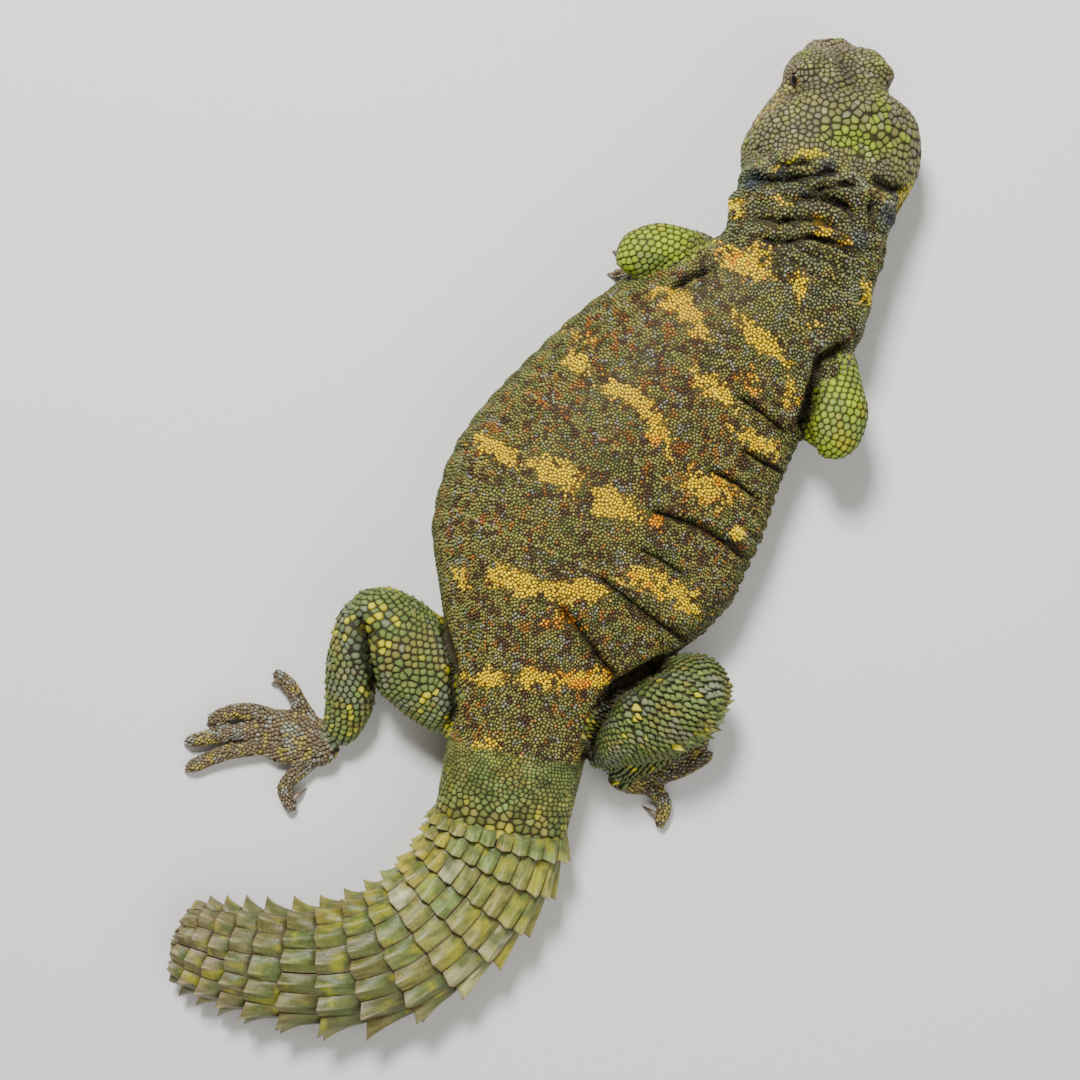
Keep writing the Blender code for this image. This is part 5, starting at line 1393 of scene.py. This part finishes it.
# The claws: dark curved horn, one on the end of every toe, oval in section and hooked to a point.
CLAW_THICK = 0.75
CLAW_ROOT_COLOUR = np.array([0.26, 0.20, 0.13])
CLAW_TIP_COLOUR = np.array([0.07, 0.05, 0.035])
CLAW_RINGS = 12
claws, claw_tones = [], []
for name, (plans, slim) in toe_plans.items():
    for plan in plans:
        (x, y), tip = plan[-2], plan[-1]
        root = np.array([x, y, TOE_HEIGHTS[-1] + 0.1])
        end = np.array([*tip, 0.25])
        knuckle = root * 0.4 + end * 0.6 + np.array([0, 0, 0.7])
        thick = CLAW_THICK * slim
        form = Form([(*root, thick, thick), (*knuckle, thick * 0.75, thick * 0.75), (*end, 0.12, 0.12)])
        stops = np.linspace(0, form.length, CLAW_RINGS)
        claws.append(tube(stops, CLAW_RINGS, lambda t, turns, f=form: f.at(np.full(len(turns), t), turns)))
        share = np.repeat(np.linspace(0, 1, CLAW_RINGS), CLAW_RINGS)
        claw_tones.append(blend(plain_colour(share, CLAW_ROOT_COLOUR), CLAW_TIP_COLOUR, share))
claw_piece = mesh_object("claws", *several(claws))
paint(claw_piece.data, np.vstack(claw_tones))
claw_piece.data.shade_smooth()
dress(claw_piece, coloured_material("claw_horn", 0.32, 0.35, 0.03, 0.5))


# The eyes: dark glossy balls with a round pupil, seen through a slit between two thick lids that are
# covered in rows of tiny scales.
EYE_HALF = (2.4, 1.6, 1.6)      # half length, depth and height of the ball
LID_OPEN = (2.2, 1.2)           # half length and half height of the slit
LID_REACH = (3.3, 2.5)          # and of the whole lid
LID_SHARES = [0.0, 0.05, 0.15, 0.3, 0.45, 0.6, 0.8, 1.0]
LID_SCALE = 0.62
LID_SCALE_ROWS = (0.1, 0.32, 0.55, 0.8)     # shares of the way from the slit to the lid's edge
LID_AROUND = 48
LID_INNER = 0.93                # the slit's inner edge, which dips to the ball
BALL_STOPS = 25
BALL_AROUND = 32
BALL_POLE = 0.02                # share of a ring left open at each pole
PUPIL = 0.8
PUPIL_BLACK = [0.006, 0.005, 0.004]
IRIS_BROWN = [0.060, 0.032, 0.015]
BALL_DARK = [0.015, 0.010, 0.008]
eye_finish = coloured_material("eyeball", 0.2, 0.6, 0.0, 0.3)
eye_finish.node_tree.nodes["Principled BSDF"].inputs["Coat Weight"].default_value = 0.25
eye_finish.node_tree.nodes["Principled BSDF"].inputs["Coat Roughness"].default_value = 0.03
smooth_head = Form(BODY, SQUARE, lambda t, turn: head_shape(t, signed_turn(turn)))
lid_parts, lid_tones, lid_coat = [], [], Coat()
for name, hand in (("right", 1), ("left", -1)):
    turn = EYE[1] if hand > 0 else 180 - EYE[1]
    skin_top, outer, _ = (v[0] for v in smooth_head.frame_at(np.array([EYE[0]]), np.array([float(turn)])))
    centre = skin_top - outer * EYE_DEEP
    ahead = smooth_head.at(EYE[0] - 1, turn)[0] - smooth_head.at(EYE[0] + 1, turn)[0]
    ahead -= outer * (ahead @ outer)
    ahead /= np.linalg.norm(ahead)
    upward = np.cross(ahead, outer)
    upward *= 1 if upward[2] > 0 else -1
    axes = np.array([ahead, upward, outer])
    half = np.array([EYE_HALF[0], EYE_HALF[2], EYE_HALF[1]])

    def ball_ring(i, turns):
        tilt = math.pi * (i + BALL_POLE) / (BALL_STOPS - 1 + 2 * BALL_POLE)
        ways = np.radians(turns)
        unit = np.column_stack([math.sin(tilt) * np.cos(ways), math.sin(tilt) * np.sin(ways),
                                np.full(len(ways), math.cos(tilt))])
        return centre + (unit * half) @ axes

    ball = mesh_object(f"eyeball_{name}", *tube(range(BALL_STOPS), BALL_AROUND, ball_ring))
    local = (columns_of(ball.data.vertices, "co", 3) / MM - centre) @ axes.T
    out_of_middle = np.hypot(local[:, 0] / 1.25, local[:, 1])
    tones = blend(plain_colour(local, PUPIL_BLACK), IRIS_BROWN, ramp(out_of_middle, PUPIL, PUPIL + 0.15))
    paint(ball.data, blend(tones, BALL_DARK, ramp(out_of_middle, 1.15, 1.5)))
    ball.data.shade_smooth()
    ball.data.materials.append(eye_finish)
    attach(ball, "root")
    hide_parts(f"eye_{name}")

    def lid_ring(share, turns):
        ways = np.radians(turns)
        reach = LID_OPEN + (np.array(LID_REACH) - LID_OPEN) * share
        flat = np.column_stack([reach[0] * np.cos(ways), reach[1] * np.sin(ways)])
        inside = np.clip(1 - (flat[:, 0] / half[0]) ** 2 - (flat[:, 1] / half[1]) ** 2, 0, 1)
        over_ball = inside ** 0.5 * half[2]
        thick = 0.35 * math.sin(math.pi * min(share * 1.4, 1.0)) * (0.6 + 0.4 * np.sin(ways))
        level = np.maximum(over_ball, 0.7) + 0.10 + thick - 0.9 * share ** 2
        return centre + np.column_stack([flat, level]) @ axes

    lid_turns = np.arange(LID_AROUND) * 360 / LID_AROUND
    lid_ways = np.radians(lid_turns)
    inner = centre + np.column_stack([LID_INNER * LID_OPEN[0] * np.cos(lid_ways),
                                      LID_INNER * LID_OPEN[1] * np.sin(lid_ways),
                                      np.full(LID_AROUND, -0.2)]) @ axes
    rings = [inner] + [lid_ring(share, lid_turns) for share in LID_SHARES]
    lid_points = np.vstack(rings)
    lid_faces = [(low + j, low + (j + 1) % LID_AROUND, low + LID_AROUND + (j + 1) % LID_AROUND,
                  low + LID_AROUND + j)
                 for low in range(0, (len(rings) - 1) * LID_AROUND, LID_AROUND) for j in range(LID_AROUND)]
    if hand < 0:
        lid_faces = [face[::-1] for face in lid_faces]
    lid_parts.append((lid_points, lid_faces))
    lid_tones.append(plain_colour(lid_points, EARTH * 0.3))
    for n, share in enumerate(LID_SCALE_ROWS):
        reach = np.array(LID_OPEN) + (np.array(LID_REACH) - LID_OPEN) * share
        turns = np.arange(0, 360, 360 / round(math.pi * (reach[0] + reach[1]) / 0.6)) + 4.0 * (n % 2)
        here, wider = lid_ring(share, turns), lid_ring(share + 0.02, turns)
        beside = lid_ring(share, turns + 1.0)
        normal = unit_rows(np.cross(beside - here, wider - here))
        normal *= np.where(normal @ outer < 0, -1.0, 1.0)[:, None]
        lie = unit_rows(wider - here)
        for i in range(len(turns)):
            chance = rng.random()
            tone = EARTH * (0.45 + 0.45 * chance) if chance < 0.7 else OLIVE * 0.6
            uv = np.array([0.25 + 0.5 * (hand > 0) + 0.2 * share * math.cos(math.radians(turns[i])),
                           0.5 + 0.2 * share * math.sin(math.radians(turns[i]))])
            lid_coat.rows.append((here[i], normal[i], lie[i], LID_SCALE, tone, chance, uv, EYE[0], turn))
lids = mesh_object("eyelids", *several(lid_parts))
paint(lids.data, np.vstack(lid_tones))
lids.data.shade_smooth()
dress(lids, skin_finish)
dress(scale_mesh("eyelid_scales", lid_coat, 0.4, TILE, sides=6), scale_finish)


# A plain pale floor under soft studio light, and the camera straight above, as the photo was taken.
CAMERA_HEIGHT = 0.52
LENS = 69.44
FLOOR_PALE = (0.78, 0.77, 0.75, 1)
AIR_PALE = (1.0, 0.97, 0.92, 1)
AIR_LIGHT = 0.22
bpy.ops.mesh.primitive_plane_add(size=3.0)
floor = bpy.context.object
floor.name = "floor"
floor_paint = bpy.data.materials.new("floor_paint")
floor_paint.use_nodes = True
floor_shader = floor_paint.node_tree.nodes["Principled BSDF"]
floor_shader.inputs["Base Color"].default_value = FLOOR_PALE
floor_shader.inputs["Roughness"].default_value = 0.9
floor.data.materials.append(floor_paint)


def soft_light(name, place, turn, size, power):
    lamp = bpy.data.lights.new(name, "AREA")
    lamp.size = size
    lamp.energy = power
    made = placed(name, lamp)
    made.location = place
    made.rotation_euler = [math.radians(a) for a in turn]


soft_light("key", (-0.14, 0.48, 0.72), (-33, -11, 0), 0.20, 12.5)
soft_light("fill", (0.6, -0.2, 0.6), (12, 45, 0), 0.7, 2.6)
soft_light("back", (0.1, -0.7, 0.5), (52, 4, 0), 0.5, 2.0)
world = bpy.data.worlds.new("studio")
world.use_nodes = True
world.node_tree.nodes["Background"].inputs["Color"].default_value = AIR_PALE
world.node_tree.nodes["Background"].inputs["Strength"].default_value = AIR_LIGHT
bpy.context.scene.world = world
lens = bpy.data.cameras.new("camera")
lens.lens = LENS
lens.clip_start = 0.01
camera = placed("camera", lens)
camera.location = (-MIDDLE[0] * MM, -MIDDLE[1] * MM, CAMERA_HEIGHT)
bpy.context.scene.camera = camera
